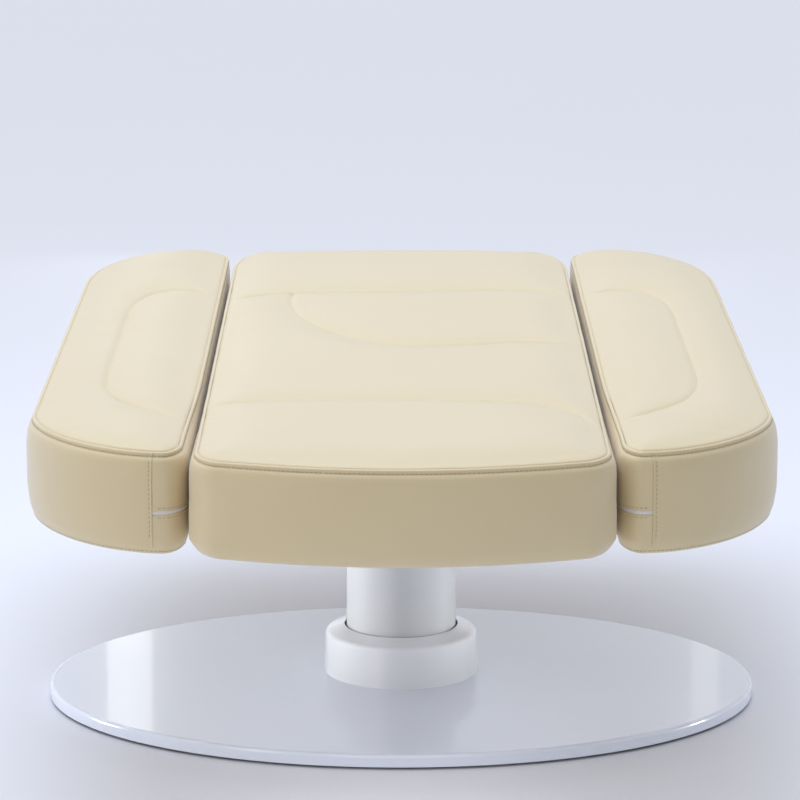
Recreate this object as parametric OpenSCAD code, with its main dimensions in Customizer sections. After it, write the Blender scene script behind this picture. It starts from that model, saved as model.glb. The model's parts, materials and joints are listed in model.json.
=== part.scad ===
/* [Overall] */
// Length over the bulge of the end faces
bed_l = 1910; // [1700:5:2100]
// Height of the top seams above the floor with the lift down
seam_h = 642; // [615:1:720]
// Height gained by the lift from lowest to highest
lift_travel = 250; // [100:5:260]

/* [Centre cushion] */
// Width of the centre cushion between its side faces
centre_w = 670; // [600:1:760]
// Thickness of all cushions from underside to top seam
cushion_t = 157; // [110:1:170]
// How far the middle of a top panel rises above its seams
crown = 13; // [4:1:20]
// How far the front end bows out between its corners
front_bow = 72; // [20:1:110]
// How far the back end bows out between its corners
back_bow = 34; // [10:1:90]
// Depth of the sewn channels in the top panels
channel_depth = 3.2; // [1:0.1:3.6]
// Half the width of a sewn channel
channel_half = 8; // [4:0.5:12]

/* [Wing cushions] */
// Width of a wing cushion
wing_w = 272; // [220:1:320]
// Gap between the faces of a wing and the centre cushion
wing_gap = 4; // [3:0.5:12]
// How far a wing's front apex lies behind the front of the bed
wing_front_back = 120; // [70:1:180]

/* [Upholstery] */
// Thickness of the cover with the wadding that is sewn into it
cover_t = 5; // [4:0.5:7]
// Radius of the rounded bottom edge
bottom_round = 20; // [14:1:34]
// Inset of the top seam from the faces
seam_inset = 12; // [8:0.5:16]
// Gap between the foam and the cover, which its facets narrow
foam_gap = 1.2; // [1.1:0.1:2]
// Thickness of the plywood boards
board_t = 12; // [9:1:16]
// Inset of the boards from the cushion faces
board_inset = 70; // [60:1:90]

/* [Base] */
// Width of the elliptical base
base_w = 1268; // [1100:2:1400]
// Depth of the elliptical base
base_d = 941; // [820:1:1050]
// Height of the base's side edge with its cover on
base_edge_h = 22; // [20:1:30]
// Radius of the base cover's top rim
rim_round = 6; // [3:0.5:9]
// Wall of the base cover
skin_t = 3; // [2:0.5:4]
// Thickness of the steel base plate
plate_t = 8; // [6:1:12]
// Thickness of a rubber foot pad
foot_t = 4; // [3:0.5:6]
// Diameter of a rubber foot pad
foot_d = 70; // [50:1:90]

/* [Column] */
// Place of the column behind the middle of the bed
column_y = 70; // [0:1:120]
// Outer diameter of the fixed column tube
column_d = 198; // [180:1:210]
// Wall of both column tubes
column_wall = 4; // [3:0.5:5]
// Room for the glides between the two tubes
glide_room = 7; // [5:0.5:9]
// Running clearance of the glides and the rod
running_gap = 0.05; // [0.03:0.01:0.1]
// Height of a glide ring
glide_h = 30; // [20:1:32]
// Diameter of the collar at its foot
collar_d = 278; // [270:1:310]
// Height of the collar where it meets the column
collar_h = 86; // [60:1:110]
// How far the collar's top rises from its rim to the column
collar_rise = 9; // [4:0.5:12]
// Radius of the collar's rim
collar_round = 9; // [5:0.5:12]
// Wall of the collar
collar_wall = 4; // [3:0.5:5]
// Room for the rubber seal between collar and column
seal_room = 4; // [3:0.5:6]

/* [Underframe] */
// Width of a rail
rail_w = 50; // [40:1:60]
// Height of a rail
rail_h = 40; // [30:1:44]
// Distance of a rail's middle from the bed's middle
rail_x = 140; // [132:1:155]
// Length of a rail
rail_l = 1340; // [1200:10:1440]
// Width of a cross member
cross_w = 50; // [40:1:60]
// Height of a cross member
cross_h = 30; // [28:1:34]
// Wall of the steel tubes
tube_wall = 3; // [2:0.5:4]
// Thickness of the plate on top of the column
head_plate_t = 10; // [8:1:12]
// Distance between neighbouring hinges
hinge_pitch = 520; // [400:5:560]

/* [Hinges] */
// Diameter of a hinge pin
pin_d = 10; // [8:0.5:12]
// Radius of a hinge eye
eye_r = 11; // [9:0.5:12]
// Width of the moving eye
eye_w = 25.4; // [20:0.2:30]
// Thickness of a fixed ear
ear_t = 8; // [6:0.5:10]
// Gap on each side of the moving eye
eye_gap = 0.3; // [0.2:0.05:0.6]
// Thickness of a hinge arm
arm_t = 12; // [8:0.5:14]
// Reach of a hinge arm past its pin
arm_l = 220; // [180:1:230]

/* [Lift drive] */
// Diameter of the push rod
rod_d = 30; // [24:1:36]
// Wall of the drive's outer tube
drive_wall = 9; // [6:0.5:10]
// Diameter of the motor
motor_d = 56; // [44:1:60]
// Length of the motor
motor_l = 122; // [90:1:140]

/* [Control box] */
// Width of the control box
box_w = 180; // [150:1:190]
// Length of the control box
box_l = 170; // [140:1:180]
// Height of the control box
box_h = 44; // [40:1:50]
// Wall of the control box
box_wall = 3; // [2:0.5:3.5]

/* [Hidden] */

// Overrun of every cut
over = 1;
// Facets of a large circle and of a small one
round_fn = 128;
small_fn = 48;

// Colours as the bed shows them
leather_colour = "#e9e1ce";
foam_colour = "#f2e6b8";
wood_colour = "#c9a877";
gloss_colour = "#e9edf3";
column_colour = "#e6e8ec";
frame_colour = "#8d9299";
steel_colour = "#b9bcc0";
rubber_colour = "#26272a";
plastic_colour = "#3a3c40";
brass_colour = "#c8a860";
board_colour = "#2f6b45";

// Heights up the stack, from the floor and from the cushions
plate_top = foot_t + plate_t;
// Lift of the cover's edge above the plate's underside
cover_lift = 1;
base_top = foot_t + cover_lift + base_edge_h;
rib_top = base_top - skin_t;
cushion_z = seam_h - cushion_t;
board_z = cushion_z - board_t;
cross_z = board_z - cross_h;
rail_z = cross_z - rail_h;
head_z = rail_z - head_plate_t;

// Column radii
column_r = column_d / 2;
column_bore = column_r - column_wall;
lift_r = column_bore - glide_room;
lift_bore = lift_r - column_wall;
// Thickness of the column's flange
flange_t = 12;
// How far the flange reaches past the tube
flange_rim = 27;
flange_r = column_r + flange_rim;
// Lip of the upper glide, and the air above it under the head plate
glide_lip = 4;
glide_air = 9;
column_top = head_z - glide_air - glide_lip;
// Room between the two glides when the lift is highest
glide_spacing = 63;
lift_bottom = column_top - glide_h - glide_spacing - lift_travel;

// Hinge line of a wing
// Distance of the hinge line behind a wing's inner face
hinge_inset = 1;
hinge_x = centre_w / 2 + wing_gap + hinge_inset;
// Air between a hinge eye and the boards above it
eye_air = 3;
hinge_z = board_z - eye_air - eye_r;
hinge_ys = [column_y - hinge_pitch, column_y, column_y + hinge_pitch];
// Thickness of the plate that closes a cross member's end
end_plate_t = 6;
// Air between the hinge pin and the end plate
eye_back = 22;
cross_half = hinge_x - eye_back;

// Corners of the centre cushion, across and along
centre_corner = [42, 62];
// Channels of the centre panel, as shares of its half width and half length
near_channel_shares = [
    [-1, -0.49], [-0.8, -0.455], [0, -0.449], [0.53, -0.466], [0.85, -0.53], [1, -0.68]
];
far_channel_shares = [
    [-1, 0.485], [-0.64, 0.53], [0.06, 0.55], [0.63, 0.572], [0.86, 0.535], [1, 0.515]
];
s_channel_shares = [
    [-0.585, 0.56], [-0.55, 0.39], [-0.47, 0.26], [-0.3, 0.15], [-0.12, 0.085],
    [0.15, 0.062], [0.4, 0.048], [0.65, 0.032], [0.965, 0.0], [1, -0.01]
];
column_shares = [
    -1, -0.965, -0.874, -0.62, -0.585, -0.55, -0.47, -0.3, 0, 0.2, 0.4, 0.65, 0.874, 0.965, 1
];
// Where the curved channel starts, as a share of the half width
s_start_share = -0.6;
// First two rows of a panel in from its edge
edge_rows = [12, 46];

// Wing outline: apex places, corner drops and the straight stretch of its outer face
wing_x = centre_w / 2 + wing_gap;
wing_back_apex = [71, 103];
wing_front_apex = [38, 72];
wing_back_straight = 390;
wing_front_straight = 290;
back_power = 2.25;
front_power = 1.78;
// Sewn contour of a wing: reach from the inner face, ends along the bed and apexes
contour_reach = 166;
contour_back = 525;
contour_front = 597;
contour_back_apex = [68, 34];
contour_front_apex = [36, 28];
contour_back_straight = 298;
contour_front_straight = 448;
contour_power = 1.7;
// Steps along a wing's curves: inner back corner, back end, straight, front end, inner front corner
wing_steps = [4, 6, 3, 6, 4];
// How quickly a panel rises from its seams, and the reach of that rise
crown_power = 2.2;
crown_reach = 150;
// Widest part of a face band: set in at the top seam, drawn in just under it
band_top = 10;
band_high = 42;
// How far the cover's return reaches over a board, and its width under the foam
board_lap = 14;
return_w = board_inset + board_lap - bottom_round;

// Place a share of the way from a to b
function mix(a, b, share) = a + (b - a) * share;
// Rise of a crowned panel at a distance from its seam, from 0 to 1
function rise(distance) = 1 - pow(1 - min(max(distance, 0), crown_reach) / crown_reach, crown_power);
// A ring of points shrunk about its middle so that its faces move in by inset
function inset_ring(ring, middle, half, inset, z) = [
    for (p = ring) [
        middle.x + (p.x - middle.x) * (1 - inset / half.x),
        middle.y + (p.y - middle.y) * (1 - inset / half.y),
        z
    ]
];
// Count upwards from a start
function span(start, count) = [for (i = [0:count - 1]) start + i];
// Two triangles for each step between two rings of point numbers
function band(upper, lower) = [
    for (i = [0:len(upper) - 1])
        let (k = (i + 1) % len(upper))
            each [[upper[i], upper[k], lower[k]], [upper[i], lower[k], lower[i]]]
];
// Triangles from a ring to one point, closing it
function fan(ring, point) = [for (i = [0:len(ring) - 1]) [ring[i], ring[(i + 1) % len(ring)], point]];
// Every second point of a ring, for the coarser foam
function halved(ring) = [for (i = [0:2:len(ring) - 1]) ring[i]];

// Insets and heights down a cover, out and round, then back up its inside
function cover_levels() = [
    [seam_inset * 0.3, cushion_t - band_top],
    [0, cushion_t - band_high],
    [0, bottom_round * 1.3],
    [bottom_round * 0.2, bottom_round * 0.45],
    [bottom_round * 0.55, bottom_round * 0.1],
    [bottom_round, 0],
    [bottom_round + return_w, 0],
    [bottom_round + return_w, cover_t],
    [bottom_round + cover_t, cover_t],
    [cover_t, bottom_round * 1.3],
    [seam_inset + cover_t, cushion_t - cover_t],
    [edge_rows[1] + seam_inset, cushion_t - cover_t + crown * 0.55]
];
// Insets and heights of the foam, from its crown to its underside
function foam_levels() = [
    [edge_rows[1] + seam_inset + foam_gap, cushion_t - cover_t + crown * 0.55 - foam_gap],
    [seam_inset + cover_t + foam_gap, cushion_t - cover_t - foam_gap],
    [cover_t + foam_gap, bottom_round * 1.3],
    [bottom_round + cover_t + foam_gap, cover_t + foam_gap],
    [bottom_round + return_w + foam_gap, cover_t + foam_gap],
    [bottom_round + return_w + foam_gap, 0]
];

// Half sizes and middles of the two cushion outlines
centre_half = [centre_w / 2, bed_l / 2];
centre_middle = [0, 0];
wing_front = -(bed_l / 2 - wing_front_back);
wing_back = bed_l / 2;
wing_half = [wing_w / 2, (wing_back - wing_front) / 2];
wing_middle = [wing_x + wing_w / 2, (wing_back + wing_front) / 2];

// Drop of a bowed end at x, with its rounded corner
function end_drop(x, bow, half_w) =
    let (edge = max(0, abs(x) - (half_w - centre_corner.x)) / centre_corner.x)
        bow * pow(x / half_w, 2) + centre_corner.y * (1 - sqrt(max(0, 1 - edge * edge)));
// Rows of the centre panel at one column, from front to back
function centre_rows(share, half) =
    let (
        x = share * half.x,
        front = -half.y + end_drop(x, front_bow, half.x),
        back = half.y - end_drop(x, back_bow, half.x),
        near = lookup(share, near_channel_shares) * half.y,
        far = lookup(share, far_channel_shares) * half.y,
        s = min(lookup(share, s_channel_shares) * half.y, far - 3 * channel_half),
        c = channel_half
    )
    [
        front, front + edge_rows[0], front + edge_rows[1],
        mix(front + edge_rows[1], near - c, 0.5), near - c, near, near + c,
        mix(near + c, s - c, 0.5), s - c, s, s + c,
        mix(s + c, far - c, 0.5), far - c, far, far + c,
        mix(far + c, back - edge_rows[1], 0.5), back - edge_rows[1], back - edge_rows[0], back
    ];
// Depth of the channels at each row
function row_depths(share) = [
    0, 0, 0, 0, 0, channel_depth, 0, 0, 0, share < s_start_share ? 0 : channel_depth,
    0, 0, 0, channel_depth, 0, 0, 0, 0, 0
];
centre_panel = let (half = centre_half - [seam_inset, seam_inset]) [
    for (j = [0:18]) [
        for (share = column_shares)
            let (
                rows = centre_rows(share, half),
                x = share * half.x,
                side = half.x - abs(x),
                end = min(rows[j] - rows[0], rows[18] - rows[j]),
                inner = min(1, side / edge_rows[1])
            )
            [x, rows[j], cushion_t + crown * rise(side) * rise(end) - row_depths(share)[j] * inner]
    ]
];

// Quarter of a rounded curve from angle 0, away from its apex, to 90 at its apex
function quarter(middle, reach, power, steps, from_apex) = [
    for (i = [0:steps - 1])
        let (a = 90 * (from_apex ? steps - i : i) / steps)
            [
                middle.x + reach.x * pow(cos(a), 2 / power),
                middle.y + reach.y * pow(sin(a), 2 / power)
            ]
];
// Curve of a wing from its inner back to its inner front, round by its outer face
function wing_curve(reach, back, front, back_apex, front_apex, straights, power_f) =
    let (
        inner = wing_x,
        outer = wing_x + reach,
        bx = inner + back_apex.x,
        fx = inner + front_apex.x
    )
    concat(
        quarter([bx, back - back_apex.y], [inner - bx, back_apex.y], 2, wing_steps[0], false),
        quarter([bx, back - straights[0]], [outer - bx, straights[0]], back_power, wing_steps[1], true),
        [for (i = [0:wing_steps[2] - 1])
            [outer, mix(back - straights[0], front + straights[1], i / wing_steps[2])]],
        quarter([fx, front + straights[1]], [outer - fx, -straights[1]], power_f, wing_steps[3], false),
        quarter([fx, front + front_apex.y], [inner - fx, -front_apex.y], 2, wing_steps[4], true),
        [[inner, front + front_apex.y]]
    );
wing_outline = wing_curve(wing_w, wing_back, wing_front, wing_back_apex, wing_front_apex,
    [wing_back_straight, wing_front_straight], front_power);
wing_contour = wing_curve(contour_reach, contour_back, -contour_front, contour_back_apex,
    contour_front_apex, [contour_back_straight, contour_front_straight], contour_power);
wing_n = len(wing_outline);
// Distance along the inner edge from the contour's ends to the panel's first and last fold
line_end = 62;
// Steps inside the sewn contour and outside it, as shares of each width
inside_shares = [0, 0.5, 0.95];
outside_shares = [0.08, 0.5, 0.86, 1];
// One point of the wing's panel, on curve k and place i along it
function wing_point(k, i, seam) =
    let (
        inner = seam[0].x,
        reach = (wing_contour[i].x - wing_x) * (1 - seam_inset / contour_reach),
        contour = [inner + reach, wing_contour[i].y],
        line_y = mix(wing_contour[0].y - line_end, wing_contour[wing_n - 1].y + line_end, i / (wing_n - 1)),
        gap = norm([seam[i].x - contour.x, seam[i].y - contour.y]),
        place = k < 3 ? [mix(inner, contour.x, inside_shares[k]), mix(line_y, contour.y, inside_shares[k])]
            : k == 3 ? contour
            : mix(contour, [seam[i].x, seam[i].y], outside_shares[k - 4]),
        side = place.x - inner,
        edge = k < 3 ? gap + (contour.x - place.x) : k == 3 ? gap : gap * (1 - outside_shares[k - 4]),
        depth = k == 3 ? channel_depth * min(1, side / edge_rows[1]) : 0
    )
    [place.x, place.y, cushion_t + crown * rise(side) * rise(edge) - depth];
wing_panel = let (seam = inset_ring(wing_outline, wing_middle, wing_half, seam_inset, cushion_t)) [
    for (k = [0:7]) [for (i = [0:wing_n - 1]) wing_point(k, i, seam)]
];

// Point numbers round a grid whose rows are listed from front to back
function grid_rim(rows, columns) = concat(
    span(0, columns),
    [for (j = [1:rows - 1]) j * columns + columns - 1],
    [for (i = [columns - 2:-1:0]) (rows - 1) * columns + i],
    [for (j = [rows - 2:-1:1]) j * columns]
);
// Triangles of a grid; the last cell of the first row is cut the other way, so that no triangle is flat
function grid_faces(rows, columns) = [
    for (j = [0:rows - 2], i = [0:columns - 2])
        let (a = j * columns + i, b = a + columns)
            each j == 0 && i == columns - 2
                ? [[a, b, a + 1], [a + 1, b, b + 1]]
                : [[a, b, b + 1], [a, b + 1, a + 1]]
];
// Rows of points as one list
function flat(rows) = [for (row = rows) each row];

// A cover: crowned and channelled panel, drawn-in sides, return under the foam, hollow inside
module cover_form(panel, middle, half) {
    rows = len(panel);
    columns = len(panel[0]);
    top = flat(panel);
    rim = grid_rim(rows, columns);
    count = len(rim);
    seam = [for (i = rim) top[i]];
    faces_out = inset_ring(seam, middle, half - [seam_inset, seam_inset], -seam_inset, 0);
    levels = cover_levels();
    rings = [for (level = levels) inset_ring(faces_out, middle, half, level[0], level[1])];
    inside = [middle.x, middle.y, cushion_t - cover_t + crown * 0.8];
    starts = [for (r = [0:len(levels) - 1]) rows * columns + r * count];
    polyhedron(
        points = concat(top, flat(rings), [inside]),
        faces = concat(
            grid_faces(rows, columns),
            band(rim, span(starts[0], count)),
            [for (r = [1:len(levels) - 1]) each band(span(starts[r - 1], count), span(starts[r], count))],
            fan(span(starts[len(levels) - 1], count), rows * columns + len(levels) * count)
        )
    );
}

// Foam that fills a cover from the inside
module foam_form(panel, middle, half) {
    rim = grid_rim(len(panel), len(panel[0]));
    top = flat(panel);
    seam = halved([for (i = rim) top[i]]);
    faces_out = inset_ring(seam, middle, half - [seam_inset, seam_inset], -seam_inset, 0);
    count = len(seam);
    levels = foam_levels();
    rings = [for (level = levels) inset_ring(faces_out, middle, half, level[0], level[1])];
    last = len(levels) - 1;
    crown_point = len(levels) * count;
    polyhedron(
        points = concat(
            flat(rings),
            [[middle.x, middle.y, cushion_t - cover_t + crown * 0.8 - foam_gap], [middle.x, middle.y, 0]]
        ),
        faces = concat(
            [for (i = [0:count - 1]) [crown_point, (i + 1) % count, i]],
            [for (r = [1:last]) each band(span((r - 1) * count, count), span(r * count, count))],
            fan(span(last * count, count), crown_point + 1)
        )
    );
}

// Board cut to a cushion's outline
module board_form(outline, middle, half) {
    ring = inset_ring(outline, middle, half, board_inset, 0);
    linear_extrude(board_t) polygon([for (p = ring) [p.x, p.y]]);
}

// Rectangular tube along x, y or z given by its outer size
module box_tube(size, wall, along) {
    inner = [for (k = [0:2]) k == along ? size[k] + 2 * over : size[k] - 2 * wall];
    difference() {
        cube(size, center = true);
        cube(inner, center = true);
    }
}

// Hexagon-headed bolt, its head resting at zero and its shank pointing up
module hex_bolt(shank_r, shank_l) {
    head_r = shank_r * 1.85;
    head_t = shank_r * 1.25;
    translate([0, 0, -head_t]) cylinder(r = head_r, h = head_t, $fn = 6);
    cylinder(r = shank_r, h = shank_l, $fn = small_fn);
}

// Ellipse with the base's proportions
module base_ellipse(inset, h) {
    scale([1, base_d / base_w, 1]) cylinder(r = base_w / 2 - inset, h = h, $fn = round_fn);
}

// Middle of the base, a little behind the middle of the bed
base_y = 17;
// Gap between the steel plate and the cover's skirt
plate_inset = 12;
// Flange bolts
flange_bolt_r = 6;
flange_bolt_n = 8;
flange_bolt_circle = column_r + flange_rim / 2;
thread_gap = 0.05;
bolt_gap = 0.6;
// Ribs between plate and cover
rib_w = 40;
rib_y = 215;
rib_x = 330;
rib_half = 480;
rib_t = rib_top - plate_top;

module base_cover() {
    r = base_w / 2;
    bottom = foot_t + cover_lift;
    color(gloss_colour) difference() {
        translate([0, base_y, 0]) scale([1, base_d / base_w, 1]) rotate_extrude($fn = round_fn)
            difference() {
                union() {
                    translate([0, bottom]) square([r - rim_round, base_edge_h]);
                    translate([0, bottom]) square([r, base_edge_h - rim_round]);
                    translate([r - rim_round, base_top - rim_round]) circle(r = rim_round, $fn = small_fn);
                }
                translate([-over, bottom - over]) square([r - skin_t + over, base_edge_h - skin_t + over]);
            }
        translate([0, column_y, 0]) cylinder(r = flange_r + over, h = base_top + over, $fn = round_fn);
    }
}

module base_plate() {
    color(steel_colour) difference() {
        translate([0, base_y, foot_t]) base_ellipse(plate_inset, plate_t);
        flange_bolt_places() translate([0, 0, foot_t - over])
            cylinder(r = flange_bolt_r + thread_gap, h = plate_t + 2 * over, $fn = small_fn);
    }
}

module flange_bolt_places() {
    translate([0, column_y, 0]) for (i = [0:flange_bolt_n - 1])
        rotate([0, 0, (i + 0.5) * 360 / flange_bolt_n]) translate([flange_bolt_circle, 0, 0]) children();
}

module rib_across(y) {
    color(frame_colour) translate([-rib_half, base_y + y - rib_w / 2, plate_top])
        cube([2 * rib_half, rib_w, rib_t]);
}

module rib_along(x) {
    color(frame_colour) translate([x - rib_w / 2, base_y - rib_y + rib_w / 2, plate_top])
        cube([rib_w, 2 * rib_y - rib_w, rib_t]);
}

module foot_pads() {
    pads = 8;
    // The pads stand on an ellipse inside the plate's edge
    reach = [base_w / 2 - plate_inset - foot_d, base_d / 2 - plate_inset - foot_d];
    color(rubber_colour) translate([0, base_y, 0]) for (i = [0:pads - 1])
        let (a = (i + 0.5) * 360 / pads)
            translate([reach.x * cos(a), reach.y * sin(a), 0])
                cylinder(d = foot_d, h = foot_t, $fn = small_fn);
}

module column_flange() {
    color(frame_colour) difference() {
        translate([0, column_y, plate_top]) cylinder(r = flange_r, h = flange_t, $fn = round_fn);
        translate([0, column_y, plate_top - over])
            cylinder(r = column_r, h = flange_t + 2 * over, $fn = round_fn);
        flange_bolt_places() translate([0, 0, plate_top - over])
            cylinder(r = flange_bolt_r + bolt_gap, h = flange_t + 2 * over, $fn = small_fn);
    }
}

module flange_bolts() {
    shank = flange_t + plate_t - thread_gap;
    color(steel_colour) flange_bolt_places() translate([0, 0, plate_top + flange_t])
        mirror([0, 0, 1]) hex_bolt(flange_bolt_r, shank);
}

module tube_at_column(r_out, r_in, z, h) {
    translate([0, column_y, z]) difference() {
        cylinder(r = r_out, h = h, $fn = round_fn);
        translate([0, 0, -over]) cylinder(r = r_in, h = h + 2 * over, $fn = round_fn);
    }
}

module column_tube() {
    color(column_colour) tube_at_column(column_r, column_bore, plate_top, column_top - plate_top);
}

module upper_glide() {
    color(plastic_colour) translate([0, column_y, 0]) rotate_extrude($fn = round_fn) polygon([
        [lift_r + running_gap, column_top - glide_h],
        [column_bore, column_top - glide_h],
        [column_bore, column_top],
        [column_r, column_top],
        [column_r, column_top + glide_lip],
        [lift_r + running_gap, column_top + glide_lip]
    ]);
}

module column_collar() {
    foot_r = collar_d / 2;
    // Draft of the collar's side over its height
    draft = 2;
    top_r = foot_r - draft;
    rim_h = collar_h - collar_rise;
    hole_r = column_r + seal_room;
    inner = foot_r - collar_wall - draft;
    // Room between the inside of the collar and its top
    roof = collar_wall + seal_room;
    color(gloss_colour) translate([0, column_y, base_top]) rotate_extrude($fn = round_fn) difference() {
        polygon(concat(
            [[hole_r, 0], [foot_r, 0]],
            [for (a = [0:15:75]) [
                top_r - collar_round + collar_round * cos(a),
                rim_h - collar_round + collar_round * sin(a)
            ]],
            [[hole_r, collar_h]]
        ));
        polygon([
            [hole_r - over, -over], [inner, -over], [inner, rim_h - roof], [hole_r - over, collar_h - roof]
        ]);
    }
}

module collar_seal() {
    // Depth of the seal below the collar's top
    recess = 2;
    h = collar_wall + seal_room - recess;
    color(rubber_colour)
        tube_at_column(column_r + seal_room, column_r, base_top + collar_h - recess - h, h);
}

// Foot bracket of the push rod
rod_r = rod_d / 2;
foot_plate = [70, 60, 6];
rod_eye_r = 13;
rod_pin_r = 6;
// Air under the rod's eye, and above the rod's end when the lift is lowest
rod_air = 3;
rod_end_air = 8;
rod_eye_z = plate_top + foot_plate.z + rod_eye_r + rod_air;
rod_top = rail_z - rod_end_air;

// Distance of an ear's middle from the middle of the eye that it holds
ear_place = eye_w / 2 + eye_gap + ear_t / 2;

module rod_foot() {
    color(frame_colour) difference() {
        union() {
            translate([-foot_plate.x / 2, column_y - foot_plate.y / 2, plate_top]) cube(foot_plate);
            for (side = [-1, 1]) translate([side * ear_place - ear_t / 2, column_y, 0]) {
                translate([0, -rod_eye_r, plate_top]) cube([ear_t, 2 * rod_eye_r, rod_eye_z - plate_top]);
                translate([0, 0, rod_eye_z]) rotate([0, 90, 0])
                    cylinder(r = rod_eye_r, h = ear_t, $fn = small_fn);
            }
        }
        translate([-foot_plate.x / 2, column_y, rod_eye_z]) rotate([0, 90, 0])
            cylinder(r = rod_pin_r + running_gap, h = foot_plate.x, $fn = small_fn);
    }
}

module rod_pin() {
    half = eye_w / 2 + eye_gap + ear_t;
    color(steel_colour) translate([-half - ear_t / 2, column_y, rod_eye_z]) rotate([0, 90, 0]) {
        cylinder(r = rod_pin_r, h = 2 * half + ear_t, $fn = small_fn);
        cylinder(r = rod_pin_r * 1.4, h = ear_t / 2 - eye_gap, $fn = small_fn);
    }
}

module push_rod() {
    color(steel_colour) translate([0, column_y, rod_eye_z]) difference() {
        union() {
            cylinder(r = rod_r, h = rod_top - rod_eye_z, $fn = small_fn);
            translate([-eye_w / 2, 0, 0]) rotate([0, 90, 0])
                cylinder(r = rod_eye_r, h = eye_w, $fn = small_fn);
        }
        // Flats beside the eye, so that the rod clears the ears
        for (side = [-1, 1]) translate([side * (eye_w / 2 + rod_r), 0, 0])
            cube([2 * rod_r, 2 * rod_d, 2 * rod_eye_r + 2 * over], center = true);
        translate([-rod_d, 0, 0]) rotate([0, 90, 0])
            cylinder(r = rod_pin_r + running_gap, h = 2 * rod_d, $fn = small_fn);
    }
}

module lift_tube() {
    color(column_colour) tube_at_column(lift_r, lift_bore, lift_bottom, head_z - lift_bottom);
}

module lower_glide() {
    color(plastic_colour) tube_at_column(column_bore - running_gap, lift_r, lift_bottom, glide_h);
}

// Plate on the lift tube, its reach past the rails, and its bolts into them
head_plate_rim = 15;
head_plate_l = 300;
head_bolt_r = 5;
head_bolt_ys = [-110, 110];
head_plate_w = 2 * (rail_x + rail_w / 2 + head_plate_rim);

module head_bolt_places() {
    for (side = [-1, 1], y = head_bolt_ys) translate([side * rail_x, column_y + y, 0]) children();
}

module head_plate() {
    color(frame_colour) difference() {
        translate([-head_plate_w / 2, column_y - head_plate_l / 2, head_z])
            cube([head_plate_w, head_plate_l, head_plate_t]);
        translate([0, column_y, head_z - over])
            cylinder(r = rod_r + drive_wall + over, h = head_plate_t + 2 * over, $fn = small_fn);
        head_bolt_places() translate([0, 0, head_z - over])
            cylinder(r = head_bolt_r + bolt_gap, h = head_plate_t + 2 * over, $fn = small_fn);
    }
}

module head_plate_bolts() {
    color(steel_colour) head_bolt_places() translate([0, 0, head_z])
        hex_bolt(head_bolt_r, head_plate_t + 2 * tube_wall);
}

// Rails lie along the bed, centred on the column
module rail(side) {
    color(frame_colour) difference() {
        translate([side * rail_x, column_y, rail_z + rail_h / 2])
            box_tube([rail_w, rail_l, rail_h], tube_wall, 1);
        head_bolt_places() translate([0, 0, rail_z - over])
            cylinder(r = head_bolt_r + thread_gap, h = tube_wall + 2 * over, $fn = small_fn);
    }
}

module rail_end_caps() {
    // Face of a plug and its depth in the tube
    face_t = 3;
    depth = 15;
    // What the tube's walls and the fit take off the plug
    fit = 2 * tube_wall + running_gap;
    color(plastic_colour) for (side = [-1, 1], end = [-1, 1])
        translate([side * rail_x, column_y + end * rail_l / 2, rail_z + rail_h / 2]) {
            translate([0, end * face_t / 2, 0]) cube([rail_w, face_t, rail_h], center = true);
            translate([0, -end * depth / 2, 0])
                cube([rail_w - fit, depth, rail_h - fit], center = true);
        }
}

// Cross member with a forked hinge seat on both ends
module cross_member(y) {
    inner = cross_half - end_plate_t;
    color(frame_colour) difference() {
        union() {
            translate([0, y, cross_z + cross_h / 2]) box_tube([2 * inner, cross_w, cross_h], tube_wall, 0);
            for (side = [-1, 1]) {
                translate([side * (inner + end_plate_t / 2), y, cross_z + cross_h / 2])
                    cube([end_plate_t, cross_w, cross_h], center = true);
                for (ear = [-1, 1]) translate([0, y + ear * ear_place - ear_t / 2, 0]) {
                    translate([side > 0 ? cross_half - over : -hinge_x, 0, hinge_z - eye_r])
                        cube([hinge_x - cross_half + over, ear_t, 2 * eye_r]);
                    translate([side * hinge_x, 0, hinge_z]) rotate([-90, 0, 0])
                        cylinder(r = eye_r, h = ear_t, $fn = small_fn);
                }
            }
        }
        for (side = [-1, 1]) translate([side * hinge_x, y - cross_w, hinge_z]) rotate([-90, 0, 0])
            cylinder(r = pin_d / 2 + running_gap, h = 2 * cross_w, $fn = small_fn);
    }
}

module hinge_pins(side) {
    half = eye_w / 2 + eye_gap + ear_t;
    // Thickness of a pin's head and of the ring on its other end
    head_t = 3;
    color(steel_colour) for (y = hinge_ys) translate([side * hinge_x, y, hinge_z]) rotate([-90, 0, 0]) {
        translate([0, 0, -half]) cylinder(d = pin_d, h = 2 * half, $fn = small_fn);
        translate([0, 0, -half - head_t]) cylinder(d = pin_d * 1.6, h = head_t, $fn = small_fn);
        translate([0, 0, half]) cylinder(d = pin_d * 1.4, h = head_t, $fn = small_fn);
    }
}

module hinge_arm(side, y) {
    color(frame_colour) difference() {
        union() {
            translate([side * hinge_x, y - eye_w / 2, hinge_z]) rotate([-90, 0, 0])
                cylinder(r = eye_r, h = eye_w, $fn = small_fn);
            translate([side > 0 ? hinge_x : -hinge_x - arm_l, y - eye_w / 2, board_z - arm_t])
                cube([arm_l, eye_w, arm_t]);
        }
        translate([side * hinge_x, y - eye_w, hinge_z]) rotate([-90, 0, 0])
            cylinder(r = pin_d / 2 + running_gap, h = 2 * eye_w, $fn = small_fn);
    }
}

// Tube that ties a wing's three hinge arms together
wing_rail_size = [30, 20];
wing_rail_x = 150;
wing_rail_overhang = 60;

module wing_rail(side) {
    l = 2 * (hinge_pitch + wing_rail_overhang);
    z = board_z - arm_t - wing_rail_size.y / 2;
    color(frame_colour) translate([side * (hinge_x + wing_rail_x), column_y, z])
        box_tube([wing_rail_size.x, l, wing_rail_size.y], tube_wall / 2, 1);
}

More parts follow.
